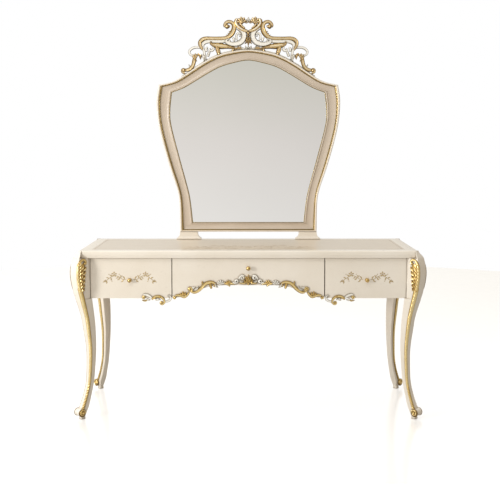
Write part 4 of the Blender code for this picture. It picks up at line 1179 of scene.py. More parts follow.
for drawer, turn in (("drawer_left", lambda place: place), ("drawer_right", flipped)):
    gilt, white = side_carving(turn(face_place))
    make_piece(drawer + "_carving_gilded", gilt, lit_copy_gold, drawer,
               [drawer + "_carving"], sharp=50)
    make_piece(drawer + "_carving_white", white, white_carving, drawer, sharp=50)
print("side carvings:", len(gilt), "gilded and", len(white), "white strokes on each side")

# %% The arch's carving on the middle drawer

EYE_EDGE, MIDDLE_EDGE = 0.85, 0.4       # shares of the dark edge that eyes and middle leaves keep


def centre_carving(place):
    """Left half of the arch's ornament: its gilded shapes, its white ones and the dark domes that paint the
    shade of the drilled holes.
    """
    holes = []
    gilt = volute(place, (-0.3385, 0.561), 0.01, 120, 1.2, 0.0038)
    gilt.append(stroke(place, [(-0.336, 0.57, 0.004), (-0.322, 0.5725, 0.0055), (-0.308, 0.568, 0.006),
                               (-0.294, 0.564, 0.006), (-0.282, 0.572, 0.0055), (-0.273, 0.585, 0.005)],
                       0.008, scroll_section, across=11))
    for tip_x, tip_z, bend in ((-0.312, 0.584, 0.25), (-0.301, 0.59, 0.05), (-0.29, 0.588, -0.25)):
        gilt.append(leaf(place, (-0.299, 0.572), (tip_x, tip_z), 0.0062, 0.0085, bend=bend, serrate=2))
    gilt.append(button(place, (-0.299, 0.574), 0.0048, 0.011))
    gilt += volute(place, (-0.269, 0.6), 0.015, -100, 1.4, 0.0052, 0.009)
    gilt.append(stroke(place, [(-0.264, 0.588, 0.004), (-0.25, 0.585, 0.0065), (-0.236, 0.59, 0.0075),
                               (-0.219, 0.603, 0.008), (-0.206, 0.618, 0.008), (-0.191, 0.629, 0.008),
                               (-0.171, 0.633, 0.007), (-0.156, 0.628, 0.006), (-0.148, 0.618, 0.0045)],
                       0.01, scroll_section, across=13, taper=(0.06, 0)))
    gilt += volute(place, (-0.156, 0.618), 0.0085, -10, -1.1, 0.0034, 0.008)
    gilt.append(stroke(place, [(-0.176, 0.628, 0.006), (-0.173, 0.614, 0.0065), (-0.169, 0.601, 0.0045)],
                       0.0085, leaf_section, taper=(0, 0.25)))
    gilt.append(leaf(place, (-0.198, 0.622), (-0.212, 0.638), 0.005, 0.007, bend=0.3))
    gilt += fan(place, (-0.09, 0.623), 0.021, 165, 35, 5, 0.008, half=0.0034)
    gilt.append(stroke(place, [(-0.112, 0.63, 0.004), (-0.1, 0.624, 0.005), (-0.088, 0.618, 0.0045),
                               (-0.086, 0.611, 0.003)], 0.0085, taper=(0.1, 0.25)))
    gilt.append(stroke(place, [(-0.088, 0.624, 0.0035), (-0.074, 0.626, 0.005), (-0.062, 0.623, 0.004)],
                       0.0085, taper=(0.1, 0.2)))
    gilt.append(stroke(place, [(-0.042, 0.63, 0.003), (-0.025, 0.628, 0.005), (-0.011, 0.626, 0.005)],
                       0.009, scroll_section, taper=(0.15, 0.1)))
    gilt.append(leaf(place, (-0.008, 0.63), (-0.016, 0.648), 0.0055, 0.011, bend=0.25, serrate=2))
    white = fan(place, (-0.127, 0.621), 0.023, 150, 30, 5, 0.0085, half=0.004)
    white.append(leaf(place, (-0.152, 0.632), (-0.138, 0.608), 0.0065, 0.008, bend=-0.25))
    white.append(leaf(place, (-0.262, 0.608), (-0.244, 0.613), 0.006, 0.0075, bend=-0.2))
    white.append(leaf(place, (-0.25, 0.596), (-0.231, 0.616), 0.006, 0.008, bend=-0.25))
    for eye_x, eye_z, radius in ((-0.054, 0.637, 0.012), (-0.027, 0.6536, 0.0125)):
        white.append(brighter(button(place, (eye_x, eye_z), radius, 0.0085), EYE_EDGE))
        holes.append(hole_shade_dome(place, (eye_x - 0.001, eye_z), 0.0052, 0.0112))
    white.append(stroke(place, [(-0.074, 0.629, 0.003), (-0.066, 0.63, 0.0048), (-0.057, 0.626, 0.004)],
                        0.008, taper=(0.1, 0.1)))
    white.append(stroke(place, [(-0.043, 0.645, 0.004), (-0.039, 0.656, 0.0052), (-0.03, 0.664, 0.005),
                                (-0.018, 0.664, 0.004)], 0.009, taper=(0.1, 0.1)))
    white.append(leaf(place, (-0.042, 0.64), (-0.022, 0.636), 0.005, 0.0085, bend=-0.2))
    return gilt, white, holes


gilt, white, holes = (left + right for left, right in zip(centre_carving(face_place),
                                                          centre_carving(flipped(face_place))))
for tip_x in (-0.0115, 0.0, 0.0115):
    tip_z = 0.668 - 0.7 * abs(tip_x)
    middle_leaf = leaf(face_place, (tip_x * 0.2, 0.623), (tip_x, tip_z), 0.0062, 0.012, serrate=3)
    gilt.append(brighter(middle_leaf, MIDDLE_EDGE))
gilt.append(button(face_place, (0.0, 0.625), 0.007, 0.012))
make_piece("drawer_centre_carving_gilded", gilt, lit_copy_gold, "drawer_centre",
           ["drawer_centre_carving"], sharp=50)
make_piece("drawer_centre_carving_white", white, white_carving, "drawer_centre", sharp=50)
make_piece("drawer_centre_carving_hole_shade", holes, hole_shade_gold, "drawer_centre", sharp=50)
print("arch carving:", len(gilt), "gilded and", len(white), "white strokes,", len(holes), "holes")

# %% [markdown]
# ## Knobs
# Each drawer has one small brass knob, turned in one piece: a collar, a thin neck and a slightly
# flattened ball with a fine line cut round it. It is a profile turned about the line it is pulled on.
# A sphere on a cylinder would show a hard seam where the real one flows.

# %% Turned knobs


def knob_middle(drawer):
    """Where a knob sits on its drawer: x and z."""
    low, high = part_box(drawer + "_knob")
    return (low.x + high.x) / 2, (low.z + high.z) / 2


def knob_profile():
    """Radius and distance from the drawer's face. One point of the ball lies deeper: the fine line."""
    collar = [(0.0074, 0.0), (0.0078, 0.0006), (0.0076, 0.0016), (0.0066, 0.0024), (0.005, 0.0032),
              (0.0041, 0.0044), (0.0042, 0.0058), (0.0052, 0.0074)]
    ball = []
    ball_radius, ball_half, ball_middle, line_depth, line_at, last = 0.01, 0.0088, 0.0163, 0.00035, 8, 14
    for i in range(last + 1):
        angle = math.radians(-52 + 142 * i / last)
        radius = (ball_radius - line_depth if i == line_at else ball_radius) * math.cos(angle)
        ball.append((max(0.0001, radius), ball_middle + ball_half * math.sin(angle)))
    return collar + ball


for drawer in ("drawer_left", "drawer_centre", "drawer_right"):
    knob_x, knob_z = knob_middle(drawer)
    knob_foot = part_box(drawer + "_knob")[1].y
    shape = turned(knob_profile(), lambda a, b, along: (knob_x + a, knob_foot - along, knob_z + b), 40)
    make_piece(drawer + "_knob_turned", [shape], brass, drawer, [drawer + "_knob"], sharp=60)
print("the right drawer's knob is at", [round(value, 3) for value in (knob_x, knob_foot, knob_z)])

# %% [markdown]
# ## The mirror's moulded frame
# The frame is four mitred members: a long bowed top, two sides that narrow to the waist, and a straight
# rail. All four have one section: a pale round rim, whose paler ivory is partly its own colour and partly
# a painted highlight along the outer edge, a gilded fillet with a dark strip beside it, a wide hollow, and
# a small bead with another dark strip next to the glass. Both dark strips are painted shade lines. The
# section is swept between the outer edge and the opening, so it stretches where the member is wider, as
# a carver would work it. A bevelled curve keeps one width. Rim, fillet and shade lines are strips of
# their own, so each has its finish.

# %% Lines of the frame

OUTER_TOP = [(0.0, 1.744), (0.115, 1.728), (0.182, 1.704), (0.248, 1.667), (0.313, 1.623), (0.378, 1.585),
             (0.455, 1.566)]
INNER_TOP = [(0.0, 1.692), (0.08, 1.678), (0.145, 1.658), (0.21, 1.6235), (0.276, 1.583), (0.33, 1.552),
             (0.391, 1.529)]
OUTER_SIDE = [(0.455, 1.566), (0.466, 1.477), (0.453, 1.346), (0.408, 1.173), (0.363, 1.036),
              (0.351, 0.96), (0.3486, rail_low.z)]
INNER_SIDE = [(0.391, 1.529), (0.4, 1.44), (0.394, 1.359), (0.351, 1.189), (0.3085, 1.032),
              (0.296, 0.96), (0.286, 0.865)]
MEMBER_WIDTH = 0.06             # the section's own width, which each member stretches to fit
LIP = 0.0632                    # the moulding laps over the edge of the glass
FACE = rail_low.y - 0.001       # plane from which the section's depths are measured


def whole_line(half_line):
    return smooth_line(mirror_x(half_line[:0:-1]) + half_line, 10)


TOP_LINES = (spread_evenly(whole_line(OUTER_TOP), 97), spread_evenly(whole_line(INNER_TOP), 97))
RIGHT_LINES = (spread_evenly(smooth_line(OUTER_SIDE, 10), 61), spread_evenly(smooth_line(INNER_SIDE, 10), 61))
LEFT_LINES = tuple(mirror_x(line) for line in RIGHT_LINES)
RAIL_LINES = ([(-OUTER_SIDE[-1][0], OUTER_SIDE[-1][1]), OUTER_SIDE[-1]],
              [(-INNER_SIDE[-1][0], INNER_SIDE[-1][1]), INNER_SIDE[-1]])
MEMBERS = {"top": TOP_LINES, "right": RIGHT_LINES, "left": LEFT_LINES, "bottom": RAIL_LINES}

# %% Sections and the sweep


def body_section():
    """(inset, depth behind the face) from the back, round the rim and the hollow, to the rebate."""
    rim = arc(0.0056, 0.0072, 0.0056, 180, 310, 9)
    hollow = []
    for i in range(11):
        t = i / 10
        hollow.append((0.0155 + 0.0365 * t, 0.008 + 0.0064 * math.sin(math.pi * (0.1 + 0.66 * t))))
    bead = arc(0.056, 0.0112, 0.0026, 190, 350, 6)
    return [(0.0, 0.03), (0.0, 0.009)] + rim + [(0.011, 0.0072)] + hollow + bead \
        + [(LIP, 0.0128), (LIP, 0.0135), (0.048, 0.0137), (0.048, 0.03)]


def fillet_section(inset, width, depth, rise):
    """Small half-round strip laid on the body."""
    points = arc(inset, depth, 1.0, 180, 360, 8)
    strip = [(inset + (a - inset) * width / 2, depth + (b - depth) * rise) for a, b in points]
    return strip + [(inset + width / 2, depth + 0.002), (inset - width / 2, depth + 0.002)]


def sweep(lines, section):
    outer, inner = lines
    rows = []
    last = len(outer) - 1
    for i, (edge, sight) in enumerate(zip(outer, inner)):
        pull = JOINT if i == 0 else -JOINT if i == last else 0.0
        ahead = outer[min(i + 1, last)]
        back = outer[max(i - 1, 0)]
        run = math.dist(ahead[:2], back[:2])
        shift_x, shift_z = pull * (ahead[0] - back[0]) / run, pull * (ahead[1] - back[1]) / run
        row = []
        for inset, depth in section:
            t = inset / MEMBER_WIDTH
            row.append((edge[0] + (sight[0] - edge[0]) * t + shift_x, FACE + depth,
                        edge[1] + (sight[1] - edge[1]) * t + shift_z))
        rows.append(row)
    return skin(rows)


# Inset of a strip's middle, its width, its depth behind the face and its rise.
RIM = (0.0052, 0.01, 0.007, 0.0064)
GILDED_FILLET = (0.0104, 0.0052, 0.0072, 0.0034)
SHADE_LINE_FILLETS = ((0.015, 0.0046, 0.0084, 0.0024), (0.061, 0.0044, 0.0122, 0.0012))

for word, lines in MEMBERS.items():
    frame_node = "mirror_frame_" + word
    # The rim takes the table's paler ivory: partly its own colour, partly a painted highlight along the
    # frame's outer edge.
    body_finish, rim_finish = frame_ivory_upright, ivory_upright
    if word in ("top", "bottom"):
        body_finish, rim_finish = frame_ivory, ivory
    make_piece(frame_node + "_moulded", [sweep(lines, body_section())], body_finish,
               stands_for=[frame_node], sharp=50)
    make_piece(frame_node + "_rim", [sweep(lines, fillet_section(*RIM))], rim_finish,
               sharp=50)
    make_piece(frame_node + "_gilded_fillet", [sweep(lines, fillet_section(*GILDED_FILLET))], gold,
               sharp=50)
    # These dark gilded strips paint the shade lines beside the gilded fillet and next to the glass.
    strips = [sweep(lines, fillet_section(*fillet)) for fillet in SHADE_LINE_FILLETS]
    make_piece(frame_node + "_shade_line_fillets", strips, shade_line_gold, sharp=50)
print("frame face at y", round(FACE, 4), "members:", list(MEMBERS))

# %% [markdown]
# ## The openwork crest
# The crest is carved from one board and stands on the frame's upper edge. A heart-shaped opening sits
# between two gilded shells, big C-scrolls lean against it, and long bands step down over the shoulders
# to end in rolled balls. White and gold strokes cross like woven ribbons. Each is a stroke with a flat
# back, drawn for the left half and turned over, so both halves match as the real pattern does.

# %% Ground of the crest

CREST_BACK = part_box("mirror_crest")[1].y
CREST_GROUND = CREST_BACK - 0.0105      # the board behind the carving is this thick
GILT_FULLER, WHITE_FULLER = 1.35, 1.1   # the knife leaves each stroke this much wider than its drawing


def crest_place(a, b, lift):
    """On the crest's board: a is x, b is z. A sink of any depth ends on the board's flat back."""
    return (a, CREST_GROUND - lift if lift >= 0 else CREST_BACK, b)


def crest_rail():
    """Fillet along the frame's upper edge, which carries the carving."""
    line = [point for point in whole_line(OUTER_TOP) if abs(point[0]) < 0.342]
    rows = []
    for x, z in spread_evenly(line, 61):
        rows.append([(x, CREST_GROUND - 0.0015, z + HAIR), (x, CREST_BACK, z + HAIR),
                     (x, CREST_BACK, z + 0.0052), (x, CREST_GROUND + 0.002, z + 0.0066),
                     (x, CREST_GROUND - 0.0015, z + 0.0058)])
    return skin(rows)


def knife(place, gilt, white):
    """Returns cut, which adds one stroke of the crest to its gilded or its white shapes."""
    def cut(into, stations, relief, section=scroll_section, **more):
        fuller = GILT_FULLER if into is gilt else WHITE_FULLER
        stations = [(a, b, half * fuller) for a, b, half in stations]
        into.append(stroke(place, stations, relief, section, **more))
    return cut


# %% The heart and the outer hook


def crest_heart(place, cut, gilt, white):
    """The shell beside the heart, and the gilded band that runs down round it."""
    gilt.extend(fan(place, (-0.033, 1.878), 0.032, 165, 30, 5, 0.0135, half=0.0068))
    gilt.append(button(place, (-0.033, 1.879), 0.008, 0.015))
    heart = [(-0.052, 1.899, 0.005), (-0.061, 1.889, 0.0072), (-0.061, 1.875, 0.008),
             (-0.052, 1.861, 0.0082), (-0.039, 1.85, 0.008), (-0.023, 1.841, 0.0074),
             (-0.005, 1.835, 0.006)]
    cut(gilt, heart, 0.011, bead_section, taper=(0.08, 0), across=11)
    cut(white, [(a, b, half * 0.5) for a, b, half in heart[:-1]], 0.0135, bead_section, taper=(0.1, 0.15))
    cut(gilt, [(-0.04, 1.88, 0.0035), (-0.038, 1.87, 0.0042), (-0.03, 1.86, 0.0042),
               (-0.016, 1.85, 0.0036)], 0.0125, bead_section, taper=(0.1, 0.1))


def crest_hook(place, cut, gilt):
    """Outer hook: an open volute that runs down into the shoulder band."""
    cut(gilt, [(-0.1165, 1.857, 0.0055), (-0.119, 1.867, 0.006), (-0.113, 1.878, 0.0064),
               (-0.101, 1.884, 0.0066), (-0.087, 1.8815, 0.0068), (-0.076, 1.8715, 0.0074),
               (-0.0725, 1.857, 0.0085), (-0.0745, 1.842, 0.0095), (-0.0815, 1.828, 0.01),
               (-0.092, 1.815, 0.0092), (-0.106, 1.8055, 0.0078), (-0.125, 1.801, 0.0072),
               (-0.155, 1.8, 0.007), (-0.185, 1.8, 0.007), (-0.211, 1.8005, 0.0072),
               (-0.232, 1.795, 0.0076), (-0.244, 1.782, 0.0074), (-0.244, 1.766, 0.0066),
               (-0.236, 1.75, 0.005), (-0.231, 1.74, 0.0035)], 0.012, across=13, taper=(0.01, 0.04))
    gilt.append(button(place, (-0.1075, 1.86), 0.0115, 0.016))
    cut(gilt, [(-0.109, 1.86, 0.004), (-0.099, 1.858, 0.0036), (-0.093, 1.866, 0.0024)], 0.0085,
        bead_section, taper=(0, 0.25))
    for x, z in ((-0.09, 1.835), (-0.0955, 1.825), (-0.103, 1.8165)):
        gilt.append(leaf(place, (x + 0.008, z - 0.001), (x - 0.009, z + 0.003), 0.0042, 0.008, bend=0.25))


# %% The white scroll and the white body


def crest_scroll(place, cut, white):
    """White C-scroll that leans against the stem."""
    cut(white, [(-0.064, 1.853, 0.006), (-0.048, 1.849, 0.0095), (-0.032, 1.838, 0.012),
                (-0.0225, 1.82, 0.013), (-0.024, 1.801, 0.0132), (-0.035, 1.784, 0.0132),
                (-0.053, 1.774, 0.0125), (-0.073, 1.771, 0.0115), (-0.092, 1.7735, 0.0105),
                (-0.108, 1.78, 0.009), (-0.112, 1.79, 0.0065), (-0.103, 1.7965, 0.005),
                (-0.093, 1.795, 0.004)], 0.0125, across=13, taper=(0.06, 0))
    white.append(button(place, (-0.0955, 1.7865), 0.0068, 0.011))
    cut(white, [(-0.039, 1.818, 0.0035), (-0.044, 1.826, 0.0045), (-0.053, 1.825, 0.0048),
                (-0.06, 1.816, 0.005), (-0.06, 1.803, 0.0052), (-0.054, 1.79, 0.0045)], 0.01,
        across=11, taper=(0.1, 0.15))
    white.append(button(place, (-0.043, 1.814), 0.005, 0.0105))
    cut(white, [(-0.08, 1.806, 0.0035), (-0.072, 1.795, 0.006), (-0.074, 1.786, 0.005)], 0.0075,
        bead_section, taper=(0.2, 0.1))


def crest_body(cut, white):
    """White body under the shoulder band."""
    cut(white, [(-0.108, 1.788, 0.0085), (-0.135, 1.785, 0.0085), (-0.165, 1.785, 0.0085),
                (-0.195, 1.786, 0.0085), (-0.218, 1.781, 0.009), (-0.231, 1.769, 0.0085),
                (-0.23, 1.752, 0.007), (-0.224, 1.735, 0.006), (-0.22, 1.712, 0.006)], 0.009,
        across=11, taper=(0, 0.04))


# %% The leaves over the frame


def crest_long_leaf(place, cut, gilt, white):
    """Long gilded leaf over the frame, with its curled tip and its drop."""
    cut(gilt, [(-0.06, 1.75, 0.004), (-0.085, 1.754, 0.0055), (-0.11, 1.759, 0.0085),
               (-0.135, 1.762, 0.0118), (-0.16, 1.765, 0.0112), (-0.18, 1.769, 0.007),
               (-0.192, 1.776, 0.0048)], 0.011, leaf_section, serrate=7, steps=7, taper=(0.1, 0))
    gilt.extend(volute(place, (-0.19, 1.781), 0.0085, 200, 1.0, 0.003, 0.01))
    cut(gilt, [(-0.16, 1.759, 0.006), (-0.1555, 1.745, 0.0085), (-0.151, 1.731, 0.0082),
               (-0.149, 1.72, 0.0062)], 0.0115, leaf_section, taper=(0, 0.2))
    gilt.append(button(place, (-0.149, 1.7225), 0.0098, 0.013))
    cut(white, [(-0.183, 1.759, 0.0035), (-0.176, 1.749, 0.0055), (-0.182, 1.74, 0.0058),
                (-0.193, 1.739, 0.005), (-0.199, 1.746, 0.004)], 0.0095, across=11, taper=(0.1, 0))
    white.append(button(place, (-0.193, 1.747), 0.0046, 0.009))
    cut(white, [(-0.195, 1.738, 0.005), (-0.201, 1.723, 0.0065), (-0.206, 1.708, 0.006)], 0.008,
        leaf_section, taper=(0.1, 0.1))
    cut(white, [(-0.205, 1.757, 0.004), (-0.213, 1.747, 0.006), (-0.212, 1.733, 0.006)], 0.008,
        bead_section, taper=(0.15, 0.1))


def crest_foot_leaves(place, cut, gilt, white):
    """Leaves at the foot of the stem."""
    gilt.append(leaf(place, (-0.027, 1.75), (-0.074, 1.742), 0.0085, 0.011, bend=-0.12))
    cut(gilt, [(-0.076, 1.748, 0.0045), (-0.078, 1.737, 0.005), (-0.074, 1.733, 0.004)], 0.01,
        bead_section, taper=(0.15, 0.2))
    white.append(leaf(place, (-0.006, 1.749), (-0.042, 1.766), 0.007, 0.01, bend=0.25))
    white.append(leaf(place, (-0.002, 1.746), (-0.015, 1.764), 0.006, 0.011, bend=0.15))


# %% The cluster on the shoulder


def crest_cluster(place, cut, gilt, white):
    """Lower cluster on the shoulder: white loop, gilded leaves, and the stem down to the ball."""
    cut(white, [(-0.235, 1.75, 0.0045), (-0.25, 1.755, 0.0056), (-0.27, 1.755, 0.0058),
                (-0.288, 1.748, 0.0058), (-0.2985, 1.735, 0.0056), (-0.296, 1.722, 0.0052),
                (-0.285, 1.715, 0.0048), (-0.274, 1.719, 0.0036)], 0.0095, across=11, taper=(0.06, 0.08))
    gilt.extend(fan(place, (-0.264, 1.702), 0.025, 165, 70, 4, 0.01, half=0.0048))
    gilt.append(leaf(place, (-0.256, 1.725), (-0.244, 1.694), 0.008, 0.0115, bend=0.2))
    gilt.append(leaf(place, (-0.27, 1.715), (-0.26, 1.685), 0.0075, 0.0115, bend=-0.2))
    white.append(leaf(place, (-0.238, 1.72), (-0.226, 1.683), 0.008, 0.0095, bend=0.2))
    white.append(leaf(place, (-0.216, 1.718), (-0.21, 1.692), 0.0065, 0.0085, bend=-0.2))
    cut(gilt, [(-0.268, 1.712, 0.006), (-0.273, 1.696, 0.0072), (-0.276, 1.68, 0.0074),
               (-0.281, 1.664, 0.007), (-0.291, 1.65, 0.0068), (-0.306, 1.642, 0.0066),
               (-0.321, 1.64, 0.006)], 0.011, across=11, taper=(0.06, 0))
    white.append(leaf(place, (-0.289, 1.656), (-0.301, 1.671), 0.005, 0.008, bend=0.2))
    gilt.extend(volute(place, (-0.327, 1.6385), 0.0172, -60, -1.2, 0.007, 0.0125))
    gilt.append(button(place, (-0.327, 1.6385), 0.0095, 0.0165))


# %% Both halves and the stem


def crest_half(place):
    """Left half of the crest. Returns its gilded and its white shapes."""
    gilt, white = [], []
    cut = knife(place, gilt, white)
    crest_heart(place, cut, gilt, white)
    crest_hook(place, cut, gilt)
    crest_scroll(place, cut, white)
    crest_body(cut, white)
    crest_long_leaf(place, cut, gilt, white)
    crest_foot_leaves(place, cut, gilt, white)
    crest_cluster(place, cut, gilt, white)
    return gilt, white


gilt, white = (left + right for left, right in zip(crest_half(crest_place),
                                                   crest_half(flipped(crest_place))))
gilt.append(button(crest_place, (0.0, 1.8275), 0.0085, 0.014))
for height, half, rise in ((1.8375, 0.0075, 0.012), (1.8165, 0.0085, 0.012), (1.812, 0.0065, 0.011)):
    gilt.append(stroke(crest_place, [(-half, height, 0.0028), (0.0, height + 0.0006, 0.003),
                                     (half, height, 0.0028)], rise, bead_section, taper=(0.2, 0.2)))
for tip_x, tip_z, half in ((0.0, 1.762, 0.0078), (-0.0185, 1.772, 0.0072), (0.0185, 1.772, 0.0072)):
    gilt.append(leaf(crest_place, (tip_x * 0.2, 1.811), (tip_x, tip_z), half, 0.013, serrate=4,
                     bend=0.12 * (tip_x < 0) - 0.12 * (tip_x > 0)))
white.append(leaf(crest_place, (0.0, 1.883), (0.0, 1.9075), 0.0075, 0.011, serrate=0))
for side in (-1, 1):
    white.append(leaf(crest_place, (side * 0.003, 1.881), (side * 0.0125, 1.896), 0.005, 0.0095))
    gilt.append(stroke(crest_place, [(0.0, 1.884, 0.0025), (side * 0.01, 1.879, 0.003),
                                     (side * 0.021, 1.883, 0.003), (side * 0.03, 1.879, 0.0028)], 0.008,
                       bead_section, taper=(0.1, 0.1)))
white.append(leaf(crest_place, (0.0, 1.746), (0.0, 1.766), 0.006, 0.012))
make_piece("mirror_crest_gilded", gilt, gold, stands_for=["mirror_crest"], sharp=50)
make_piece("mirror_crest_white", white + [crest_rail()], white_carving, sharp=50)
print("crest:", len(gilt), "gilded and", len(white), "white strokes")

# %% [markdown]
# ## Marquetry and painted garlands
# A thin dark line runs round the veneered panel, and a spray of scrolls and leaves is let into its
# middle. Each side drawer has a small gilded garland beside its knob: two flowers, buds and a bending
# stem. An image would be the usual way. Real strokes a few tenths of a millimetre thick keep their
# edges at any distance, so each leaf and petal is cut as its own flat stroke.

# %% Flat strokes

FLAT_RISE = 0.0004              # how far veneer or paint stands over its ground, and goes into it


def flat_section(t):
    """A flat band with thin edges."""
    return min(1.0, 4.0 * (1 - abs(t)) + 0.15)


def flat_leaf(place, root, tip, half, bend=0.0, relief=FLAT_RISE):
    run_a, run_b = tip[0] - root[0], tip[1] - root[1]
    stations = []
    for s, width in ((0.0, 0.25), (0.3, 0.9), (0.6, 1.0), (1.0, 0.15)):
        bow = bend * math.sin(math.pi * s)
        stations.append((root[0] + run_a * s - run_b * bow, root[1] + run_b * s + run_a * bow, half * width))
    return stroke(place, stations, relief, flat_section, steps=4, sink=FLAT_RISE, across=5, taper=(0.1, 0.1))


def flat_line(place, points, half):
    return stroke(place, [(*point, half) for point in points], FLAT_RISE, flat_section, steps=5,
                  sink=FLAT_RISE, across=5, taper=(0.08, 0.08))


def flower(place, centre, reach, petals=5):
    shapes, relief = [], 1.5 * FLAT_RISE
    for i in range(petals):
        angle = math.tau * (i + 0.25) / petals
        root = (centre[0] + 0.34 * reach * math.cos(angle), centre[1] + 0.34 * reach * math.sin(angle))
        tip = (centre[0] + reach * math.cos(angle), centre[1] + reach * math.sin(angle))
        shapes.append(flat_leaf(place, root, tip, reach * 0.24, relief=relief))
    shapes.append(button(place, centre, reach * 0.22, relief * 2, steps=12, sink=FLAT_RISE))
    return shapes


# %% Garlands on the side drawers


def beside_knob(drawer):
    """Drawing plane about a drawer's knob: a is along the drawer, b is up."""
    middle_x, middle_z = knob_middle(drawer)
    return lambda a, b, lift: face_place(middle_x + a, middle_z + b, lift)


def garland(place):
    """Two equal sprays, one on each side of the knob."""
    shapes = []
    for side in (-1, 1):
        shapes.append(flat_line(place, [(side * 0.016, 0.001), (side * 0.034, 0.004), (side * 0.052, 0.015),
                                        (side * 0.07, 0.02), (side * 0.088, 0.012), (side * 0.104, 0.0),
                                        (side * 0.114, -0.008)], 0.0009))
        shapes += flower(place, (side * 0.072, 0.026), 0.0125)
        shapes += flower(place, (side * 0.112, -0.005), 0.0065)
        for root, tip, half, bend in (((0.024, 0.003), (0.034, 0.016), 0.0024, 0.2),
                                      ((0.03, 0.003), (0.041, -0.009), 0.0024, -0.2),
                                      ((0.041, 0.009), (0.046, 0.022), 0.0022, 0.2),
                                      ((0.047, 0.011), (0.058, 0.0), 0.0024, -0.2),
                                      ((0.054, 0.016), (0.064, 0.007), 0.002, -0.2),
                                      ((0.082, 0.014), (0.094, 0.022), 0.0022, 0.25),
                                      ((0.09, 0.01), (0.086, -0.003), 0.0022, -0.2),
                                      ((0.097, 0.005), (0.108, 0.011), 0.002, 0.2),
                                      ((0.108, -0.004), (0.108, -0.018), 0.0022, -0.2),
                                      ((0.113, -0.008), (0.123, -0.012), 0.0018, 0.2)):
            root, tip = (side * root[0], root[1]), (side * tip[0], tip[1])
            shapes.append(flat_leaf(place, root, tip, half, side * bend))
        for dot_a, dot_b in ((0.036, 0.019), (0.049, 0.026), (0.096, 0.026), (0.082, -0.006)):
            shapes.append(button(place, (side * dot_a, dot_b), 0.0018, 0.001, steps=10, sink=FLAT_RISE))
    return shapes


for drawer in ("drawer_left", "drawer_right"):
    strokes = garland(beside_knob(drawer))
    make_piece(drawer + "_garland", strokes, painted_gold, drawer)
print("each garland has", len(strokes), "strokes")

# %% Inlay of the top


def top_place(a, b, lift):
    """On the table's top: a is x, b is y."""
    return (a, b, TOP_Z + lift)


def top_scrolls(place):
    """Right half of the spray in the middle of the top."""
    shapes = [flat_line(place, [(0.0, -0.12), (0.04, -0.098), (0.085, -0.085), (0.13, -0.095),
                                (0.165, -0.12), (0.205, -0.135), (0.245, -0.122), (0.285, -0.1)], 0.0022)]
    shapes.append(flat_line(place, [(0.085, -0.085), (0.12, -0.06), (0.16, -0.055), (0.185, -0.072),
                                    (0.175, -0.09), (0.158, -0.086)], 0.002))
    shapes.append(flat_line(place, [(0.165, -0.12), (0.18, -0.155), (0.215, -0.172), (0.245, -0.162),
                                    (0.244, -0.144), (0.228, -0.143)], 0.002))
    shapes.append(flat_line(place, [(0.02, -0.11), (0.045, -0.14), (0.085, -0.15), (0.11, -0.138),
                                    (0.102, -0.122)], 0.002))
    shapes += flower(place, (0.085, -0.11), 0.017)
    shapes += flower(place, (0.205, -0.103), 0.014)
    for root, tip, half, bend in (((0.03, -0.103), (0.052, -0.07), 0.0062, 0.25),
                                  ((0.06, -0.092), (0.078, -0.055), 0.0058, 0.2),
                                  ((0.11, -0.088), (0.128, -0.12), 0.0062, -0.25),
                                  ((0.14, -0.101), (0.16, -0.14), 0.006, -0.2),
                                  ((0.188, -0.13), (0.2, -0.16), 0.0056, -0.2),
                                  ((0.228, -0.13), (0.262, -0.135), 0.0056, -0.25),
                                  ((0.245, -0.122), (0.252, -0.09), 0.0056, 0.25),
                                  ((0.268, -0.11), (0.295, -0.112), 0.005, -0.2),
                                  ((0.12, -0.06), (0.138, -0.036), 0.0054, 0.2),
                                  ((0.15, -0.055), (0.18, -0.042), 0.0054, 0.2),
                                  ((0.06, -0.145), (0.07, -0.172), 0.0054, -0.2),
                                  ((0.085, -0.15), (0.112, -0.168), 0.0052, 0.2)):
        shapes.append(flat_leaf(place, root, tip, half, bend, 0.00035))
    return shapes


scrolls = top_scrolls(top_place) + top_scrolls(flipped(top_place))
scrolls += flower(top_place, (0.0, -0.112), 0.022, petals=8)
make_piece("top_marquetry", scrolls, pale_inlay, sharp=50)

LINE_INSET, LINE_HALF, LINE_SINK, LINE_RISE = 0.011, 0.001, 0.0006, 0.0002
half_x, half_y = panel_high.x - LINE_INSET, panel_high.y - LINE_INSET
corners = [(-half_x, -half_y), (half_x, -half_y), (half_x, half_y), (-half_x, half_y)]
lines = []
for start, end in zip(corners, corners[1:] + corners[:1]):
    low = (min(start[0], end[0]) - LINE_HALF, min(start[1], end[1]) - LINE_HALF, TOP_Z - LINE_SINK)
    high = (max(start[0], end[0]) + LINE_HALF, max(start[1], end[1]) + LINE_HALF, TOP_Z + LINE_RISE)
    lines.append(block(low, high))
make_piece("top_inlay_line", lines, inlay)
print("marquetry strokes:", len(scrolls))

# %% [markdown]
# ## Floor, light and camera
# A pale seamless floor, a key light low on the left, a weak one from above and soft light from all
# around are what a furniture studio uses. The surroundings get darker upwards from the horizon, because
# that is what the mirror shows, and warmer and dimmer towards the right. Behind the table stands a
# bright backdrop. Only the camera sees floor and background nearly white. A room that was really so
# white would throw too much light on the table. The camera stands in front, above the table's top.

# %% Floor


FLOOR_DEEP, FLOOR_PALE = (0.56, 0.55, 0.53), (0.6, 0.59, 0.57)
FLOOR_GLOW = 0.52               # light of its own, for the camera only
FLOOR_RADIUS, FLOOR_SIDES = 5.0, 96


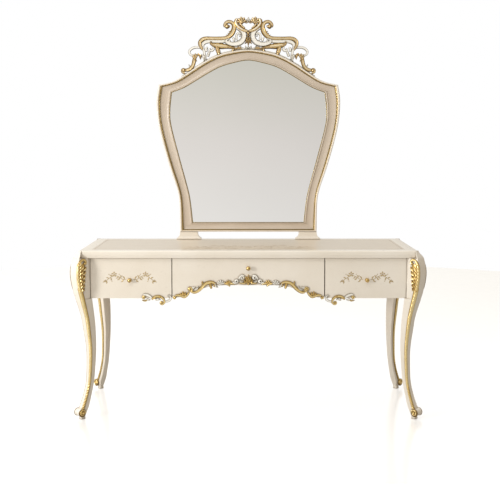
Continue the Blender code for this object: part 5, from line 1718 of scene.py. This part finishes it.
def pale_floor():
    material, tree, shader = new_material("pale_floor")
    tone = use_group(tree, mottle, Scale=0.8, Contrast=0.3)
    feed(tree, shader.inputs["Base Color"], blend(tree, tone["Value"], FLOOR_DEEP, FLOOR_PALE))
    feed(tree, shader.inputs["Roughness"], spread(tree, tone["Fine"], 0.14, 0.2))
    shader.inputs["Emission Color"].default_value = (1.0, 0.995, 0.985, 1.0)
    lit_for_camera = node(tree, "LightPath").outputs["Is Camera Ray"]
    feed(tree, shader.inputs["Emission Strength"], maths(tree, "MULTIPLY", lit_for_camera, FLOOR_GLOW))
    shader.inputs["Coat Weight"].default_value = 0.5
    shader.inputs["Coat Roughness"].default_value = 0.16
    return material


turns = [math.tau * i / FLOOR_SIDES for i in range(FLOOR_SIDES)]
floor_edge = [(FLOOR_RADIUS * math.cos(turn), FLOOR_RADIUS * math.sin(turn), 0.0) for turn in turns]
floor_mesh = bpy.data.meshes.new("studio_floor")
floor_mesh.from_pydata(floor_edge, [], [tuple(range(FLOOR_SIDES))])
floor_mesh.materials.append(pale_floor())
floor = bpy.data.objects.new("studio_floor", floor_mesh)
bpy.context.scene.collection.objects.link(floor)
print("floor radius", FLOOR_RADIUS)

# %% Surroundings

# Tones from straight down (-1) over the horizon (0) to straight up (1).
SKY_TONES = [(-1.0, (0.5, 0.49, 0.47)), (-0.12, (0.84, 0.815, 0.79)), (0.0, (0.76, 0.72, 0.69)),
             (0.1, (0.64, 0.62, 0.555)), (0.3, (0.42, 0.41, 0.385)), (0.55, (0.75, 0.74, 0.72)),
             (1.0, (1.25, 1.24, 1.22))]
LEFT_STRENGTH, RIGHT_STRENGTH = 1.5, 0.45
WARM_SIDE = (0.8, 0.66, 0.46)
BACKDROP = (1.05, 1.04, 1.02)

world = bpy.data.worlds.new("studio")
bpy.context.scene.world = world
world.use_nodes = True
sky = world.node_tree
sky.nodes.clear()
direction = node(sky, "SeparateXYZ", {"Vector": node(sky, "TexCoord").outputs["Generated"]})
height = remap(sky, direction.outputs["Z"], -1.0, 1.0, 0.0, 1.0)
ramp = node(sky, "ValToRGB", {"Fac": height})
tones = ramp.color_ramp.elements
while len(tones) < len(SKY_TONES):
    tones.new(0.5)
for element, (z, colour) in zip(tones, SKY_TONES):
    element.position = (z + 1) / 2
    element.color = (*colour, 1.0)
sideways = remap(sky, direction.outputs["X"], -1.0, 1.0, LEFT_STRENGTH, RIGHT_STRENGTH)
warm = remap(sky, direction.outputs["X"], 0.1, 0.9, 0.0, 1.0)
tinted = blend(sky, warm, ramp.outputs["Color"], WARM_SIDE)
behind_table = remap(sky, direction.outputs["Y"], 0.15, 0.6, 0.0, 1.0)
above_line = remap(sky, direction.outputs["Z"], 0.17, 0.24, 0.0, 1.0)
backdrop = maths(sky, "MULTIPLY", behind_table, above_line)
lit = blend(sky, backdrop, tinted, BACKDROP)
around = node(sky, "Background", {"Color": lit, "Strength": sideways})
behind = node(sky, "Background", {"Color": (1.0, 1.0, 1.0), "Strength": 1.0})
choose = node(sky, "MixShader")
feed(sky, choose.inputs[0], node(sky, "LightPath").outputs["Is Camera Ray"])
sky.links.new(around.outputs[0], choose.inputs[1])
sky.links.new(behind.outputs[0], choose.inputs[2])
sky.links.new(choose.outputs[0], node(sky, "OutputWorld").inputs["Surface"])
bpy.context.scene.view_settings.view_transform = "Standard"
print("surroundings:", len(tones), "tones")

# %% Lights

LAMP_COLOUR = (1.0, 0.98, 0.95)


def area_light(name, place, target, size, power):
    data = bpy.data.lights.new(name, "AREA")
    data.shape = "DISK"
    data.size = size
    data.energy = power
    data.color = LAMP_COLOUR
    light = bpy.data.objects.new(name, data)
    light.location = place
    light.rotation_euler = (Vector(target) - Vector(place)).to_track_quat("-Z", "Y").to_euler()
    bpy.context.scene.collection.objects.link(light)


area_light("key_light", (-3.3, -2.5, 1.35), (0.0, -0.1, 0.8), size=0.9, power=70)
area_light("top_light", (-1.1, -2.6, 3.0), (-0.4, 0.0, 0.9), size=0.8, power=13)

# %% Camera

TILT_DOWN, TURN_RIGHT = 3.07, 0.111     # degrees

lens = bpy.data.cameras.new("studio_camera")
lens.sensor_width = 36.0
lens.lens = 62.2
lens.shift_y = -0.105
lens.clip_end = 50.0
camera = bpy.data.objects.new("studio_camera", lens)
camera.location = (0.0, -4.18, 1.2708)
camera.rotation_euler = (math.radians(90 - TILT_DOWN), 0.0, math.radians(-TURN_RIGHT))
bpy.context.scene.collection.objects.link(camera)
bpy.context.scene.camera = camera
print("camera at", tuple(camera.location))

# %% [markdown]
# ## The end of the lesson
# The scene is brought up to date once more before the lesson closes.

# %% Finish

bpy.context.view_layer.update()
